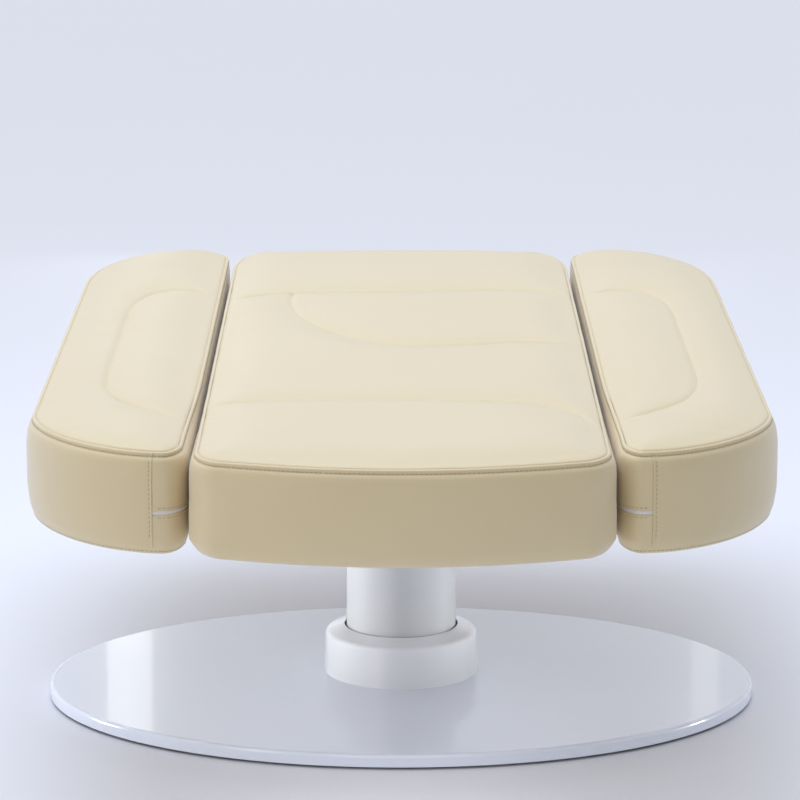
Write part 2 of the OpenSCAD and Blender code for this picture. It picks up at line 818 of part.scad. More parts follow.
module centre_cushion() {
    color(leather_colour) translate([0, 0, cushion_z]) cover_form(centre_panel, centre_middle, centre_half);
}

module centre_foam() {
    color(foam_colour) translate([0, 0, cushion_z]) foam_form(centre_panel, centre_middle, centre_half);
}

module seat_board() {
    rim = grid_rim(len(centre_panel), len(centre_panel[0]));
    top = flat(centre_panel);
    color(wood_colour) translate([0, 0, board_z])
        board_form([for (i = rim) top[i]], centre_middle, centre_half);
}

module on_side(side) {
    mirror([side < 0 ? 1 : 0, 0, 0]) children();
}

module wing_cushion(side) {
    color(leather_colour) on_side(side) translate([0, 0, cushion_z])
        cover_form(wing_panel, wing_middle, wing_half);
}

module wing_foam(side) {
    color(foam_colour) on_side(side) translate([0, 0, cushion_z])
        foam_form(wing_panel, wing_middle, wing_half);
}

module wing_board(side) {
    color(wood_colour) on_side(side) translate([0, 0, board_z])
        board_form(wing_outline, wing_middle, wing_half);
}

// Gearbox on the head plate, with the seat that the motor is bolted to
gearbox_size = [90, 80, 34];
motor_seat_l = 14;
motor_r = motor_d / 2;
// How far the motor's underside lies above the rails', and its face behind the gearbox's
motor_rise = 4;
motor_offset = 1;
motor_z = rail_z + motor_r + motor_rise;
motor_y = column_y + gearbox_size.y / 2 + motor_offset;

module drive_gearbox() {
    color(plastic_colour) {
        translate([-gearbox_size.x / 2, column_y - gearbox_size.y / 2, rail_z]) cube(gearbox_size);
        translate([0, motor_y - motor_seat_l / 2, motor_z]) rotate([-90, 0, 0])
            cylinder(r = motor_r - motor_offset, h = motor_seat_l / 2, $fn = small_fn);
    }
}

module drive_motor() {
    // Length and share of the diameter of the motor's end cap
    cap_l = 16;
    cap_share = 0.86;
    color(steel_colour) translate([0, motor_y, motor_z]) rotate([-90, 0, 0]) {
        cylinder(r = motor_r, h = motor_l - cap_l, $fn = small_fn);
        cylinder(r = motor_r * cap_share, h = motor_l, $fn = small_fn);
    }
}

module drive_tube() {
    // Air under the drive's tube, above the rod's foot, when the lift is lowest
    air = 12;
    bottom = rod_eye_z + rod_eye_r + air;
    color(column_colour) tube_at_column(rod_r + drive_wall, rod_r + running_gap, bottom, rail_z - bottom);
}

// Control box under the seat board, behind the motor
lead_r = 3.5;
lead_l = 58;
box_y = motor_y + motor_l + lead_l;
box_z = board_z - box_h;
lid_t = 3;

module motor_lead() {
    color(rubber_colour) translate([0, motor_y + motor_l, motor_z]) rotate([-90, 0, 0])
        cylinder(r = lead_r, h = lead_l, $fn = small_fn);
}

// Inlet and switch sizes: face plate, body behind the wall, and recess
inlet_face = [31, 2.5, 24];
inlet_body = [27, 22, 20];
inlet_recess = [24, 17, 17];
inlet_x = -42;
port_z = box_z + lid_t + (box_h - lid_t) / 2;
switch_face = [25, 2.5, 17];
switch_body = [22, 15, 14.4];
switch_recess = [18.6, 11, 11];
switch_x = 42;
box_back = box_y + box_l;

module control_box() {
    color(plastic_colour) difference() {
        translate([-box_w / 2, box_y, box_z + lid_t]) cube([box_w, box_l, box_h - lid_t]);
        translate([-box_w / 2 + box_wall, box_y + box_wall, box_z + lid_t - over])
            cube([box_w - 2 * box_wall, box_l - 2 * box_wall, box_h - lid_t - box_wall + over]);
        translate([0, box_back, port_z]) {
            translate([inlet_x - inlet_body.x / 2, -box_wall - over, -inlet_body.z / 2])
                cube([inlet_body.x, box_wall + 2 * over, inlet_body.z]);
            translate([switch_x - switch_body.x / 2, -box_wall - over, -switch_body.z / 2])
                cube([switch_body.x, box_wall + 2 * over, switch_body.z]);
        }
    }
}

module control_box_lid() {
    color(plastic_colour) translate([-box_w / 2, box_y, box_z]) cube([box_w, box_l, lid_t]);
}

module control_board() {
    // Margin to the box walls, thickness of the board, and its parts
    margin = 14;
    pcb_t = 1.6;
    standoff_h = 6;
    part_sizes = [[46, 40, 22], [30, 24, 16], [22, 22, 20]];
    part_shares = [[0.1, 0.08], [0.6, 0.12], [0.3, 0.5]];
    w = box_w - 2 * (box_wall + margin);
    l = box_l - 2 * (box_wall + margin) - inlet_body.y;
    x0 = -w / 2;
    y0 = box_y + box_wall + margin;
    top = board_z - box_wall - standoff_h;
    color(board_colour) {
        translate([x0, y0, top - pcb_t]) cube([w, l, pcb_t]);
        for (i = [0:len(part_sizes) - 1])
            translate([x0 + part_shares[i].x * w, y0 + part_shares[i].y * l, top - pcb_t - part_sizes[i].z])
                cube(part_sizes[i]);
        for (x = [x0 + standoff_h, x0 + w - standoff_h], y = [y0 + standoff_h, y0 + l - standoff_h])
            translate([x, y, top]) cylinder(d = standoff_h, h = standoff_h, $fn = small_fn);
    }
}

module power_inlet() {
    color(rubber_colour) translate([inlet_x, box_back, port_z]) difference() {
        union() {
            translate([-inlet_face.x / 2, 0, -inlet_face.z / 2]) cube(inlet_face);
            translate([-inlet_body.x / 2, -inlet_body.y, -inlet_body.z / 2]) cube(inlet_body);
        }
        translate([-inlet_recess.x / 2, inlet_face.y - inlet_recess.y, -inlet_recess.z / 2])
            cube([inlet_recess.x, inlet_recess.y + over, inlet_recess.z]);
    }
}

// Three flat pins in the recess: two side by side and the earth pin above them
pin_size = [2, 14, 4];
pin_spread = 7;
pin_rise = 2;

module inlet_pins() {
    color(brass_colour) for (place = [[-pin_spread, -pin_rise], [pin_spread, -pin_rise], [0, pin_rise]])
        translate([inlet_x + place[0] - pin_size.x / 2, box_back + inlet_face.y - inlet_recess.y,
            port_z + place[1] - pin_size.z / 2]) cube(pin_size);
}

// Rocker of the mains switch turns on an upright pin
rocker_tilt = 6;
rocker_pin_r = 1.2;
rocker_size = [17, 3.2, 10.4];
rocker_y = box_back - switch_face.y;

module switch_frame() {
    // Length of the bore that the rocker's pin turns in
    pin_l = rocker_size.z + 2.5 * rocker_pin_r;
    color(rubber_colour) translate([switch_x, box_back, port_z]) difference() {
        union() {
            translate([-switch_face.x / 2, 0, -switch_face.z / 2]) cube(switch_face);
            translate([-switch_body.x / 2, -switch_body.y, -switch_body.z / 2]) cube(switch_body);
        }
        translate([-switch_recess.x / 2, switch_face.y - switch_recess.y, -switch_recess.z / 2])
            cube([switch_recess.x, switch_recess.y + over, switch_recess.z]);
        translate([0, rocker_y - box_back, -pin_l / 2])
            cylinder(r = rocker_pin_r + running_gap, h = pin_l, $fn = small_fn);
    }
}

module switch_rocker() {
    half = rocker_size.x / 2;
    // Dip of the rocker's face at its middle
    dip = 1.2;
    color("#17181a") translate([switch_x, rocker_y, port_z]) rotate([0, 0, -rocker_tilt]) {
        translate([0, 0, -rocker_size.z / 2]) linear_extrude(rocker_size.z) polygon([
            [-half, rocker_size.y + switch_face.y], [0, rocker_size.y + switch_face.y - dip],
            [half, rocker_size.y + switch_face.y], [half, -dip], [-half, -dip]
        ]);
        translate([0, 0, -rocker_size.z / 2 - rocker_pin_r])
            cylinder(r = rocker_pin_r, h = rocker_size.z + 2 * rocker_pin_r, $fn = small_fn);
    }
}

base_cover();
base_plate();
rib_across(-rib_y);  // base_rib_front
rib_across(rib_y);  // base_rib_rear
rib_along(-rib_x);  // base_rib_left
rib_along(rib_x);  // base_rib_right
foot_pads();
column_flange();
flange_bolts();
column_tube();
upper_glide();
column_collar();
collar_seal();
rod_foot();
rod_pin();
push_rod();
lift_tube();
lower_glide();
head_plate();
head_plate_bolts();
drive_tube();
drive_gearbox();
drive_motor();
motor_lead();
rail(-1);  // rail_left
rail(1);  // rail_right
rail_end_caps();
cross_member(hinge_ys[0]);  // cross_member_front
cross_member(hinge_ys[1]);  // cross_member_middle
cross_member(hinge_ys[2]);  // cross_member_rear
hinge_pins(-1);  // hinge_pins_left
hinge_pins(1);  // hinge_pins_right
seat_board();
centre_foam();
centre_cushion();
control_box();
control_box_lid();
control_board();
power_inlet();
inlet_pins();
switch_frame();
switch_rocker();
wing_board(-1);  // wing_board_left
wing_foam(-1);  // wing_foam_left
wing_cushion(-1);  // wing_cushion_left
wing_rail(-1);  // wing_rail_left
hinge_arm(-1, hinge_ys[0]);  // hinge_arm_left_front
hinge_arm(-1, hinge_ys[1]);  // hinge_arm_left_middle
hinge_arm(-1, hinge_ys[2]);  // hinge_arm_left_rear
wing_board(1);  // wing_board_right
wing_foam(1);  // wing_foam_right
wing_cushion(1);  // wing_cushion_right
wing_rail(1);  // wing_rail_right
hinge_arm(1, hinge_ys[0]);  // hinge_arm_right_front
hinge_arm(1, hinge_ys[1]);  // hinge_arm_right_middle
hinge_arm(1, hinge_ys[2]);  // hinge_arm_right_rear
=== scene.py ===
import json
import math

import bmesh
import bpy
import numpy as np
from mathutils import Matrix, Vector
from mathutils.bvhtree import BVHTree
from mathutils.geometry import delaunay_2d_cdt
from mathutils.kdtree import KDTree


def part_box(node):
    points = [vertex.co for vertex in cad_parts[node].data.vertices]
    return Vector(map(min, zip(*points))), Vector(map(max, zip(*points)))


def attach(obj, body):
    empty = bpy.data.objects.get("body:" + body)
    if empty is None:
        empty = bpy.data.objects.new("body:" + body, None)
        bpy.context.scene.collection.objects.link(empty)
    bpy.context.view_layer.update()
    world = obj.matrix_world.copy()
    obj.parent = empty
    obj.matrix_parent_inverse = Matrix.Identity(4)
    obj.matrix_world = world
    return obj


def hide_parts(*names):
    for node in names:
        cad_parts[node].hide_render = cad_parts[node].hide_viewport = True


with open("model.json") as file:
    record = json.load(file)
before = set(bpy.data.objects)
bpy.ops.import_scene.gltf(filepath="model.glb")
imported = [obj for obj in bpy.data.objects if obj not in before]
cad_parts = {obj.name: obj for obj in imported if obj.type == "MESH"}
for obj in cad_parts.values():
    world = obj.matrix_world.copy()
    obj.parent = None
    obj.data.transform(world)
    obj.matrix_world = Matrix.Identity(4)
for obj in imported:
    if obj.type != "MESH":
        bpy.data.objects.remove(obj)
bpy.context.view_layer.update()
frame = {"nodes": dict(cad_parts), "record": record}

MM = 0.001
RNG = np.random.default_rng(41)

# Sizes of the cushions, read from the frame where a solid gives them; their thickness is in mm
CENTRE_LOW, CENTRE_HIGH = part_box("centre_cushion")
WING_LOW, WING_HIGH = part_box("wing_cushion_right")
CUSHION_Z = CENTRE_LOW.z
THICK = 157
SEAM_Z = CUSHION_Z + THICK * MM
CENTRE_HALF = (CENTRE_HIGH.x, CENTRE_HIGH.y)
WING_X = WING_LOW.x
WING_W = WING_HIGH.x - WING_LOW.x
WING_FRONT, WING_BACK = WING_LOW.y, WING_HIGH.y
# Inset of the top seam of each kind of cushion, and the solid's own, which the outlines were drawn with
CENTRE_SEAM, WING_SEAM = 14 * MM, 15 * MM
SOLID_SEAM = 12 * MM
# Radius of the lower edge, and how far the cover runs in underneath, to where the board holds it
CENTRE_ROUND, WING_ROUND = 20 * MM, 15 * MM
RETURN_END = 84 * MM

# How the panels rise: a broad crown, and a quick roll-off at the sewn edge
CROWN = 2.5 * MM
CROWN_REACH = 150 * MM
CROWN_POWER = 2.2
EDGE_ROLL = 7.2 * MM
EDGE_ROLL_REACH = 16 * MM

# How far the sides bulge: a wing's outer side, and, low down where the foam settles, the sides that face
# each other across a gap; the covers never come closer than CLEAR to the middle of that gap
OUTER_BULGE, OUTER_REACH = 3.5 * MM, 45 * MM
INNER_BULGE, INNER_HEIGHTS = 6 * MM, (4, 26, 56, 86)
BULGE_START, BULGE_RUN = 40 * MM, 120 * MM
CLEAR = 1 * MM
# Along the long sides a wing's seam runs nearer to the face than round the front, and the centre cushion's
# upper side is drawn in under its seam, in mm
WING_LEAN, WING_OUTER_LEAN, CENTRE_DRAW = 8.4, 3.0, 7.2
DRAW_HEIGHTS = (72, 102)
LEAN_START, LEAN_RUN = 50 * MM, 500 * MM
# Powers that keep a change to the straight sides, off the corners: on an inner and on an outer side
INNER_ONLY, OUTER_ONLY = 8, 4
# How far the covers hang below the solids' lower face, the way back up to it, inwards of the rounded edge
# in mm and as a share, and that edge's height for its radius
WING_SAG, CENTRE_SAG = 9 * MM, 1.5 * MM
SAG_END, FOOT_TALL = ((18, 1), (40, 0.4)), 1.3

# Bows and corners of the centre cushion
FRONT_BOW, BACK_BOW = 72 * MM, 34 * MM
FRONT_CORNER, BACK_CORNER = (42 * MM, 62 * MM), (58 * MM, 170 * MM)

# Sewn lines of the centre panel, as shares of its half width and half length
NEAR_LINE = [(-1, -0.56), (-0.8, -0.525), (0, -0.514), (0.53, -0.532), (0.85, -0.6), (1, -0.75)]
FAR_LINE = [(-1, 0.42), (-0.64, 0.475), (0.06, 0.492), (0.63, 0.51), (0.86, 0.49), (1, 0.475)]
CURVED_LINE = [
    (-0.63, 0.475), (-0.635, 0.41), (-0.62, 0.34), (-0.56, 0.235), (-0.4, 0.1), (-0.2, 0.005),
    (0.08, -0.045), (0.38, -0.035), (0.65, -0.012), (0.965, -0.03), (1, -0.04),
]

# Wing outline: its inner corners, the runs of its curves and their powers, each back then front
WING_SHAPE = {"apexes": ((71, 103), (38, 72)), "straights": (390, 290), "powers": (2.25, 1.78)}

# Contour sewn into a wing's panel: distance from the wing's inner side, and place along the bed, in mm
CONTOUR = [
    (12, 452), (41, 478), (71, 486), (94, 480), (115, 462), (135, 430), (151, 376), (159, 308), (162, 240),
    (162, 140), (162, -25), (163, -168), (162, -288), (159, -354), (152, -402), (140, -447), (121, -492),
    (94, -534), (62, -570), (30, -602), (12, -618),
]

# Places of the upright seams on a wing's inner corners, and the zip between them
FRONT_SEAM_X = 54 * MM
BACK_SEAM_X = 77 * MM
UPRIGHT_ROW = 5.6 * MM
ZIP_HEIGHT = THICK - 96.5
ZIP_DEPTH = 2.6 * MM

# Its slot's half height, its lips' place, rise and width, and its stitch rows, from its middle in mm
ZIP_HALF, ZIP_LIP, ZIP_ROW = 3.7, (5.4, 0.6, 1.3), 7.6
# The woven tape's section, height from the zip's middle and depth in mm, its steps, and the coil's teeth
TAPE_SECTION = [(-3.9, 2.3), (-3.9, 1.4), (-1.5, 1.2), (1.5, 1.2), (3.9, 1.4), (3.9, 2.3)]
TAPE_STEPS = 700
TOOTH_PITCH, TOOTH_L, TOOTH_R, TOOTH_INSET = 2.1 * MM, 2.9 * MM, 0.62 * MM, 1.05

# Thread: half a pitch is also the spacing of the points round a cushion
STITCH_PITCH = 7.5 * MM
STITCH_L = 5.0 * MM
THREAD_R = 0.65 * MM
# A stitch from end to end: share of its length, and share of the thread's radius
STITCH_SHAPE = [(-0.5, 0.25), (-0.42, 0.8), (-0.18, 1.0), (0.18, 1.0), (0.42, 0.8), (0.5, 0.25)]
STITCH_SIDES = 6

# Spacing of the mesh of a cover, and of the plainer one that the swelling works on
FINE_STEP, COARSE_STEP = 7 * MM, 15 * MM

# Swelling: the cloth's settings, the frames it works for, and the most that it moves a point
SWELL_SETTINGS = {
    "quality": 5, "mass": 0.3, "tension_stiffness": 15, "compression_stiffness": 15, "shear_stiffness": 5,
    "bending_stiffness": 2, "use_pressure": True, "uniform_pressure_force": 4,
}
SWELL_FRAMES = 20
# What holds still meanwhile: so far below the top seam and above the lower face, in mm, and beside a line
HELD_TOP, HELD_LOW, HELD_LINE = 12, 3, 1.5 * MM
SWELL_CAP = 6 * MM

# Slow waves of stretched leatherette: length in m and size in mm; and puckers: these and where they start
WAVES = ((0.21, 0.35), (0.13, 0.22), (0.07, 0.1))
PUCKERS = ((0.031, 0.16, 0.4), (0.047, 0.14, 1.9), (0.023, 0.08, 3.0))
PUCKER_STEP, PUCKER_START, PUCKER_REACH = 2 * MM, 8 * MM, 22 * MM
# They show from a height above the lower face, and come in over a distance from the seam
RIPPLE_LOW, RIPPLE_RUN = 30 * MM, 12 * MM


def linear(hex_colour):
    """An sRGB hex colour as linear RGBA."""
    parts = [int(hex_colour[i:i + 2], 16) / 255 for i in (1, 3, 5)]
    return [c / 12.92 if c <= 0.04045 else ((c + 0.055) / 1.055) ** 2.4 for c in parts] + [1.0]


def add_node(tree, kind, settings=None, links=None, feeds=None, tones=()):
    """A node with its settings, what feeds its sockets, what it feeds of the surface, and a ramp's tones."""
    made = tree.nodes.new("ShaderNode" + kind)
    for name, value in (settings or {}).items():
        if isinstance(name, int) or name in made.inputs:
            made.inputs[name].default_value = value
        else:
            setattr(made, name, value)
    for name, source in (links or {}).items():
        tree.links.new(source, made.inputs[name])
    for name, socket in (feeds or {}).items():
        tree.links.new(made.outputs[name], tree.nodes["Principled BSDF"].inputs[socket])
    for i, tone in enumerate(tones):
        made.color_ramp.elements[i].color = linear(tone)
    return made


def sized(size):
    """Scale of a texture whose features are a size in mm across."""
    return 1 / (size * MM)


def banded(size):
    """Scale of a wave texture whose bands repeat at a size in mm."""
    return math.tau / 20 / (size * MM)


def new_material(name, **surface):
    """A material with one Principled surface; returns it, its tree and its object coordinates."""
    made = bpy.data.materials.new(name)
    made.use_nodes = True
    tree = made.node_tree
    shader = tree.nodes["Principled BSDF"]
    for socket, value in surface.items():
        shader.inputs[socket.replace("_", " ")].default_value = value
    return made, tree, add_node(tree, "TexCoord").outputs["Object"]


def mottled(name, size, detail, low, high, worn=None, **surface):
    """A new material whose colour drifts between two tones, in patches of a size in mm, and whose
    roughness drifts between two values with it where worn gives them."""
    made, tree, place = new_material(name, **surface)
    tone = add_node(tree, "TexNoise", {"Scale": sized(size), "Detail": detail}, {"Vector": place})
    add_node(
        tree, "ValToRGB", links={"Fac": tone.outputs["Fac"]},
        feeds={"Color": "Base Color"}, tones=(low, high),
    )
    if worn:
        add_node(
            tree, "MapRange", {"To Min": worn[0], "To Max": worn[1]}, {"Value": tone.outputs["Fac"]},
            {"Result": "Roughness"},
        )
    return made, tree, place, tone.outputs["Fac"]


def roughened(tree, place, size, detail, strength, depth):
    """Gives a surface a fine relief whose size across and depth are in mm."""
    relief = add_node(tree, "TexNoise", {"Scale": sized(size), "Detail": detail}, {"Vector": place})
    add_node(
        tree, "Bump", {"Strength": strength, "Distance": depth * MM},
        {"Height": relief.outputs["Fac"]}, {"Normal": "Normal"},
    )


def leatherette():
    """PU-coated leatherette, embossed with a pebble grain: a satin skin with soft broad highlights.
    The real grain is about 1 mm; it is drawn at 2 mm, with creases at 4 mm, so that it shows."""
    made, tree, place, _ = mottled(
        "cream_leatherette", 417, 3.0, "#DDCA9E", "#E2D0A7",
        Roughness=0.42, IOR=1.45, Sheen_Weight=0.4, Sheen_Roughness=0.45,
    )
    sheen = add_node(tree, "TexNoise", {"Scale": sized(111), "Detail": 4.0}, {"Vector": place})
    add_node(
        tree, "MapRange", {"To Min": 0.36, "To Max": 0.48}, {"Value": sheen.outputs["Fac"]},
        {"Result": "Roughness"},
    )
    pebble = add_node(
        tree, "TexVoronoi", {"feature": "SMOOTH_F1", "Scale": sized(2.0), "Smoothness": 0.6},
        {"Vector": place},
    )
    crease = add_node(tree, "TexNoise", {"Scale": sized(3.85), "Detail": 3.0}, {"Vector": place})
    grain = add_node(
        tree, "Math", {"operation": "ADD"}, {0: pebble.outputs["Distance"], 1: crease.outputs["Fac"]}
    )
    add_node(
        tree, "Bump", {"Strength": 0.16, "Distance": 0.25 * MM}, {"Height": grain.outputs["Value"]},
        {"Normal": "Normal"},
    )
    return made


def sewing_thread():
    """Bonded polyester thread, twisted from three strands every 0.45 mm: a soft sheen across the twist."""
    # Both tones are darker than the leatherette, which the thread matches in colour: painted shade that makes
    # the stitch rows show as dark dashes
    made, tree, place, _ = mottled(
        "sewing_thread", 1.11, 2.0, "#B3A276", "#CDBD92", Roughness=0.55, Sheen_Weight=0.3
    )
    twist = add_node(tree, "TexWave", {"Scale": banded(0.45), "Distortion": 2.0}, {"Vector": place})
    add_node(
        tree, "Bump", {"Strength": 0.4, "Distance": 0.2 * MM}, {"Height": twist.outputs["Fac"]},
        {"Normal": "Normal"},
    )
    return made


def zip_tape():
    """Woven polyester zip tape: off-white and matt, with a fine rib every 0.75 mm."""
    made, tree, place = new_material("zip_tape", Roughness=0.6, Sheen_Weight=0.4)
    rib = add_node(
        tree, "TexWave", {"Scale": banded(0.75), "Distortion": 1.0, "bands_direction": "Z"},
        {"Vector": place},
    )
    add_node(
        tree, "ValToRGB", links={"Fac": rib.outputs["Fac"]},
        feeds={"Color": "Base Color"}, tones=("#E4DCD9", "#F6EFEC"),
    )
    add_node(
        tree, "Bump", {"Strength": 0.3, "Distance": 0.2 * MM}, {"Height": rib.outputs["Fac"]},
        {"Normal": "Normal"},
    )
    return made


def zip_coil():
    """Drawn nylon monofilament of a coil zip: smooth and slightly glossy."""
    return mottled("zip_coil", 3.33, 2.0, "#EFE8E4", "#FBF6F3", Roughness=0.32, IOR=1.53)[0]


def gloss_lacquer():
    """Moulded acrylic cover, polished: light blue-grey, with a clear skin over the colour."""
    made, tree, place, tone = mottled(
        "gloss_lacquer", 333, 2.0, "#E2E8F4", "#E7ECF6",
        Roughness=0.24, IOR=1.49, Coat_Weight=0.7, Coat_Roughness=0.05, Coat_IOR=1.5,
    )
    wipe = add_node(tree, "TexNoise", {"Scale": sized(71.4), "Detail": 6.0}, {"Vector": place})
    add_node(
        tree, "MapRange", {"To Min": 0.16, "To Max": 0.26}, {"Value": wipe.outputs["Fac"]},
        {"Result": "Roughness"},
    )
    add_node(tree, "Bump", {"Strength": 0.04, "Distance": 1 * MM}, {"Height": tone}, {"Normal": "Normal"})
    return made


def gloss_collar():
    """Injection-moulded ABS with a polished skin: clean white, sharp highlights on its edge."""
    return mottled(
        "gloss_collar", 90.9, 3.0, "#F0F1F4", "#F4F5F7", worn=(0.18, 0.27),
        Roughness=0.22, IOR=1.53, Coat_Weight=0.5, Coat_Roughness=0.06, Coat_IOR=1.5,
    )[0]


def powder_coat(name, low, high, rough, texture_mm, depth_mm):
    """Powder-coated steel: a satin film with the shallow waves that the melted powder leaves."""
    worn = (rough - 0.05, rough + 0.07)
    made, tree, place, _ = mottled(name, 143, 3.0, low, high, worn, Roughness=rough, IOR=1.5)
    roughened(tree, place, texture_mm, 2.0, 0.3, depth_mm)
    return made


def turned_steel(name, low, high, rough):
    """Zinc-plated or ground steel: fine tool marks and a faint stain, worn brighter in places."""
    worn = (rough - 0.07, rough + 0.1)
    made, tree, place, _ = mottled(name, 33.3, 5.0, low, high, worn, Metallic=1.0, Roughness=rough)
    roughened(tree, place, 1.11, 1.0, 0.12, 0.05)
    return made


def moulded_plastic(name, low, high, rough, texture_mm):
    """Injection-moulded plastic with a spark-eroded texture: matt and slightly speckled."""
    made, tree, place, _ = mottled(name, 16.7, 6.0, low, high, Roughness=rough, IOR=1.5)
    roughened(tree, place, texture_mm, 2.0, 0.35, 0.1)
    return made


def cut_foam():
    """Cut polyurethane foam: matt, with open cells about 1 mm across."""
    made, tree, place = new_material("cut_foam", Roughness=0.95)
    cells = add_node(tree, "TexVoronoi", {"Scale": sized(1.11)}, {"Vector": place})
    # The ramp darkens each cell towards its middle, where the bump below sinks it: painted shade in the
    # cells' hollows
    add_node(
        tree, "ValToRGB", links={"Fac": cells.outputs["Distance"]},
        feeds={"Color": "Base Color"}, tones=("#D8C890", "#F3E8BF"),
    )
    add_node(
        tree, "Bump", {"Strength": 0.6, "Distance": 0.4 * MM},
        {"Height": cells.outputs["Distance"]}, {"Normal": "Normal"},
    )
    return made


def birch_plywood():
    """Sanded birch plywood: pale grain, 8 mm wide and 110 mm long, and darker glue lines on the edges,
    where a pair of veneers is 2.8 mm thick."""
    made, tree, place = new_material("birch_plywood", Roughness=0.62)
    stretched = add_node(
        tree, "Mapping", {"Scale": (sized(8.333), sized(111.1), sized(8.333))}, {"Vector": place}
    )
    grain = add_node(
        tree, "TexNoise", {"Scale": 1.0, "Detail": 8.0, "Roughness": 0.65},
        {"Vector": stretched.outputs["Vector"]},
    )
    ramp = add_node(tree, "ValToRGB", links={"Fac": grain.outputs["Fac"]}, tones=("#B89063", "#DDBE90"))
    layers = add_node(tree, "TexWave", {"bands_direction": "Z", "Scale": banded(2.764)}, {"Vector": place})
    add_node(
        tree, "MixRGB", {"blend_type": "MULTIPLY", "Fac": 0.45},
        {"Color1": ramp.outputs["Color"], "Color2": layers.outputs["Color"]}, {"Color": "Base Color"},
    )
    add_node(
        tree, "Bump", {"Strength": 0.25, "Distance": 0.3 * MM}, {"Height": grain.outputs["Fac"]},
        {"Normal": "Normal"},
    )
    return made


def printed_board():
    """Glass-epoxy circuit board under green solder mask: satin, with paler tracks about 4 mm apart."""
    made, tree, place = new_material("printed_board", Roughness=0.35, IOR=1.55)
    tracks = add_node(
        tree, "TexVoronoi", {"feature": "DISTANCE_TO_EDGE", "Scale": sized(4.17)}, {"Vector": place}
    )
    add_node(
        tree, "ValToRGB", links={"Fac": tracks.outputs["Distance"]},
        feeds={"Color": "Base Color"}, tones=("#2F7A4A", "#1E5A37"),
    )
    return made


MATERIALS = {
    "base_gloss": gloss_lacquer(),
    "column_satin": powder_coat("column_paint", "#D4D5D5", "#D9DADA", 0.34, 2.4, 0.05),
    "frame_grey": powder_coat("frame_paint", "#82868D", "#8F939A", 0.48, 1.2, 0.12),
    "bright_steel": turned_steel("zinc_plate", "#A9ACB0", "#C9CBCE", 0.3),
    "black_rubber": moulded_plastic("black_rubber", "#1B1C1E", "#2A2B2E", 0.7, 1.0),
    "dark_plastic": moulded_plastic("box_plastic", "#2E3034", "#3B3D42", 0.55, 0.9),
    "glide_plastic": moulded_plastic("glide_plastic", "#2B2D31", "#34363A", 0.38, 2.0),
    "cream_leather": leatherette(),
    "seat_foam": cut_foam(),
    "birch_ply": birch_plywood(),
    "circuit_board": printed_board(),
    "contact_brass": turned_steel("contact_brass", "#B8924A", "#D9B56A", 0.28),
}
COLLAR = gloss_collar()
THREAD = sewing_thread()
ZIP_TAPE = zip_tape()
ZIP_COIL = zip_coil()


def dress_frame():
    """Gives every node of the frame its material."""
    slots = {p["node"]: p["material_slot"] for p in frame["record"]["subparts"]}
    for name, piece in frame["nodes"].items():
        material = COLLAR if name == "column_collar" else MATERIALS[slots[name]]
        for slot in piece.material_slots:
            slot.material = material


# Steps of a curve between two of its points, and round a corner of an outline
CURVE_STEPS = 60
CORNER_STEPS = 80


def smooth_line(points, step):
    """A smooth curve through points, with a point every step."""
    p = np.array(points, float)
    p = np.vstack([2 * p[0] - p[1], p, 2 * p[-1] - p[-2]])
    out = []
    for a, b, c, d in zip(p, p[1:], p[2:], p[3:]):
        t = np.linspace(0, 1, CURVE_STEPS, endpoint=False)[:, None]
        bent = (2 * a - 5 * b + 4 * c - d) * t**2 + (3 * b - a - 3 * c + d) * t**3
        out.append(0.5 * (2 * b + (c - a) * t + bent))
    out.append(p[-2:-1])
    return evenly(np.vstack(out), step)


def lengths(points, closed=False):
    """Distance along a line at each of its points."""
    p = np.vstack([points, points[:1]]) if closed else points
    return np.concatenate([[0], np.cumsum(np.linalg.norm(np.diff(p, axis=0), axis=1))])


def at_lengths(points, places, closed=False):
    """Points of a line at given distances along it."""
    p = np.vstack([points, points[:1]]) if closed else points
    run = lengths(points, closed)
    return np.stack([np.interp(places, run, p[:, k]) for k in range(p.shape[1])], 1)


def evenly(points, step, closed=False):
    """A line cut into even steps."""
    total = lengths(points, closed)[-1]
    count = max(2, round(total / step))
    places = np.linspace(0, total, count + (not closed), endpoint=not closed)
    return at_lengths(points, places, closed)


def outward(ring):
    """Unit normals of a closed ring that runs anticlockwise."""
    along = np.roll(ring, -1, 0) - np.roll(ring, 1, 0)
    out = np.stack([along[:, 1], -along[:, 0]], 1)
    return out / np.linalg.norm(out, axis=1)[:, None]


def nearest(points, targets):
    """Distance from each point to the nearest target, and that target's number."""
    tree = KDTree(len(targets))
    for i, (x, y) in enumerate(targets):
        tree.insert((x, y, 0), i)
    tree.balance()
    found = [tree.find((x, y, 0)) for x, y in points]
    return np.array([f[2] for f in found]), np.array([f[1] for f in found])


def centre_outline():
    """Face line of the centre cushion, anticlockwise from its front left corner."""
    half = np.array(CENTRE_HALF) - SOLID_SEAM
    turn = np.radians(np.linspace(0, 90, CURVE_STEPS))

    def end(bow, corner):
        flat = np.linspace(corner[0] - half[0], half[0] - corner[0], 5 * CORNER_STEPS)
        corner_x = half[0] - corner[0] + corner[0] * np.sin(turn)
        corner_drop = corner[1] * (1 - np.cos(turn))
        x = np.concatenate([-corner_x[::-1], flat[1:-1], corner_x])
        drop = np.concatenate([corner_drop[::-1], np.zeros(len(flat) - 2), corner_drop])
        return x, bow * (x / half[0]) ** 2 + drop

    front_x, front_drop = end(FRONT_BOW, FRONT_CORNER)
    back_x, back_drop = end(BACK_BOW, BACK_CORNER)
    front = np.stack([front_x, -half[1] + front_drop], 1)
    back = np.stack([back_x, half[1] - back_drop], 1)[::-1]
    return np.vstack([front, back]) * (np.array(CENTRE_HALF) / half)


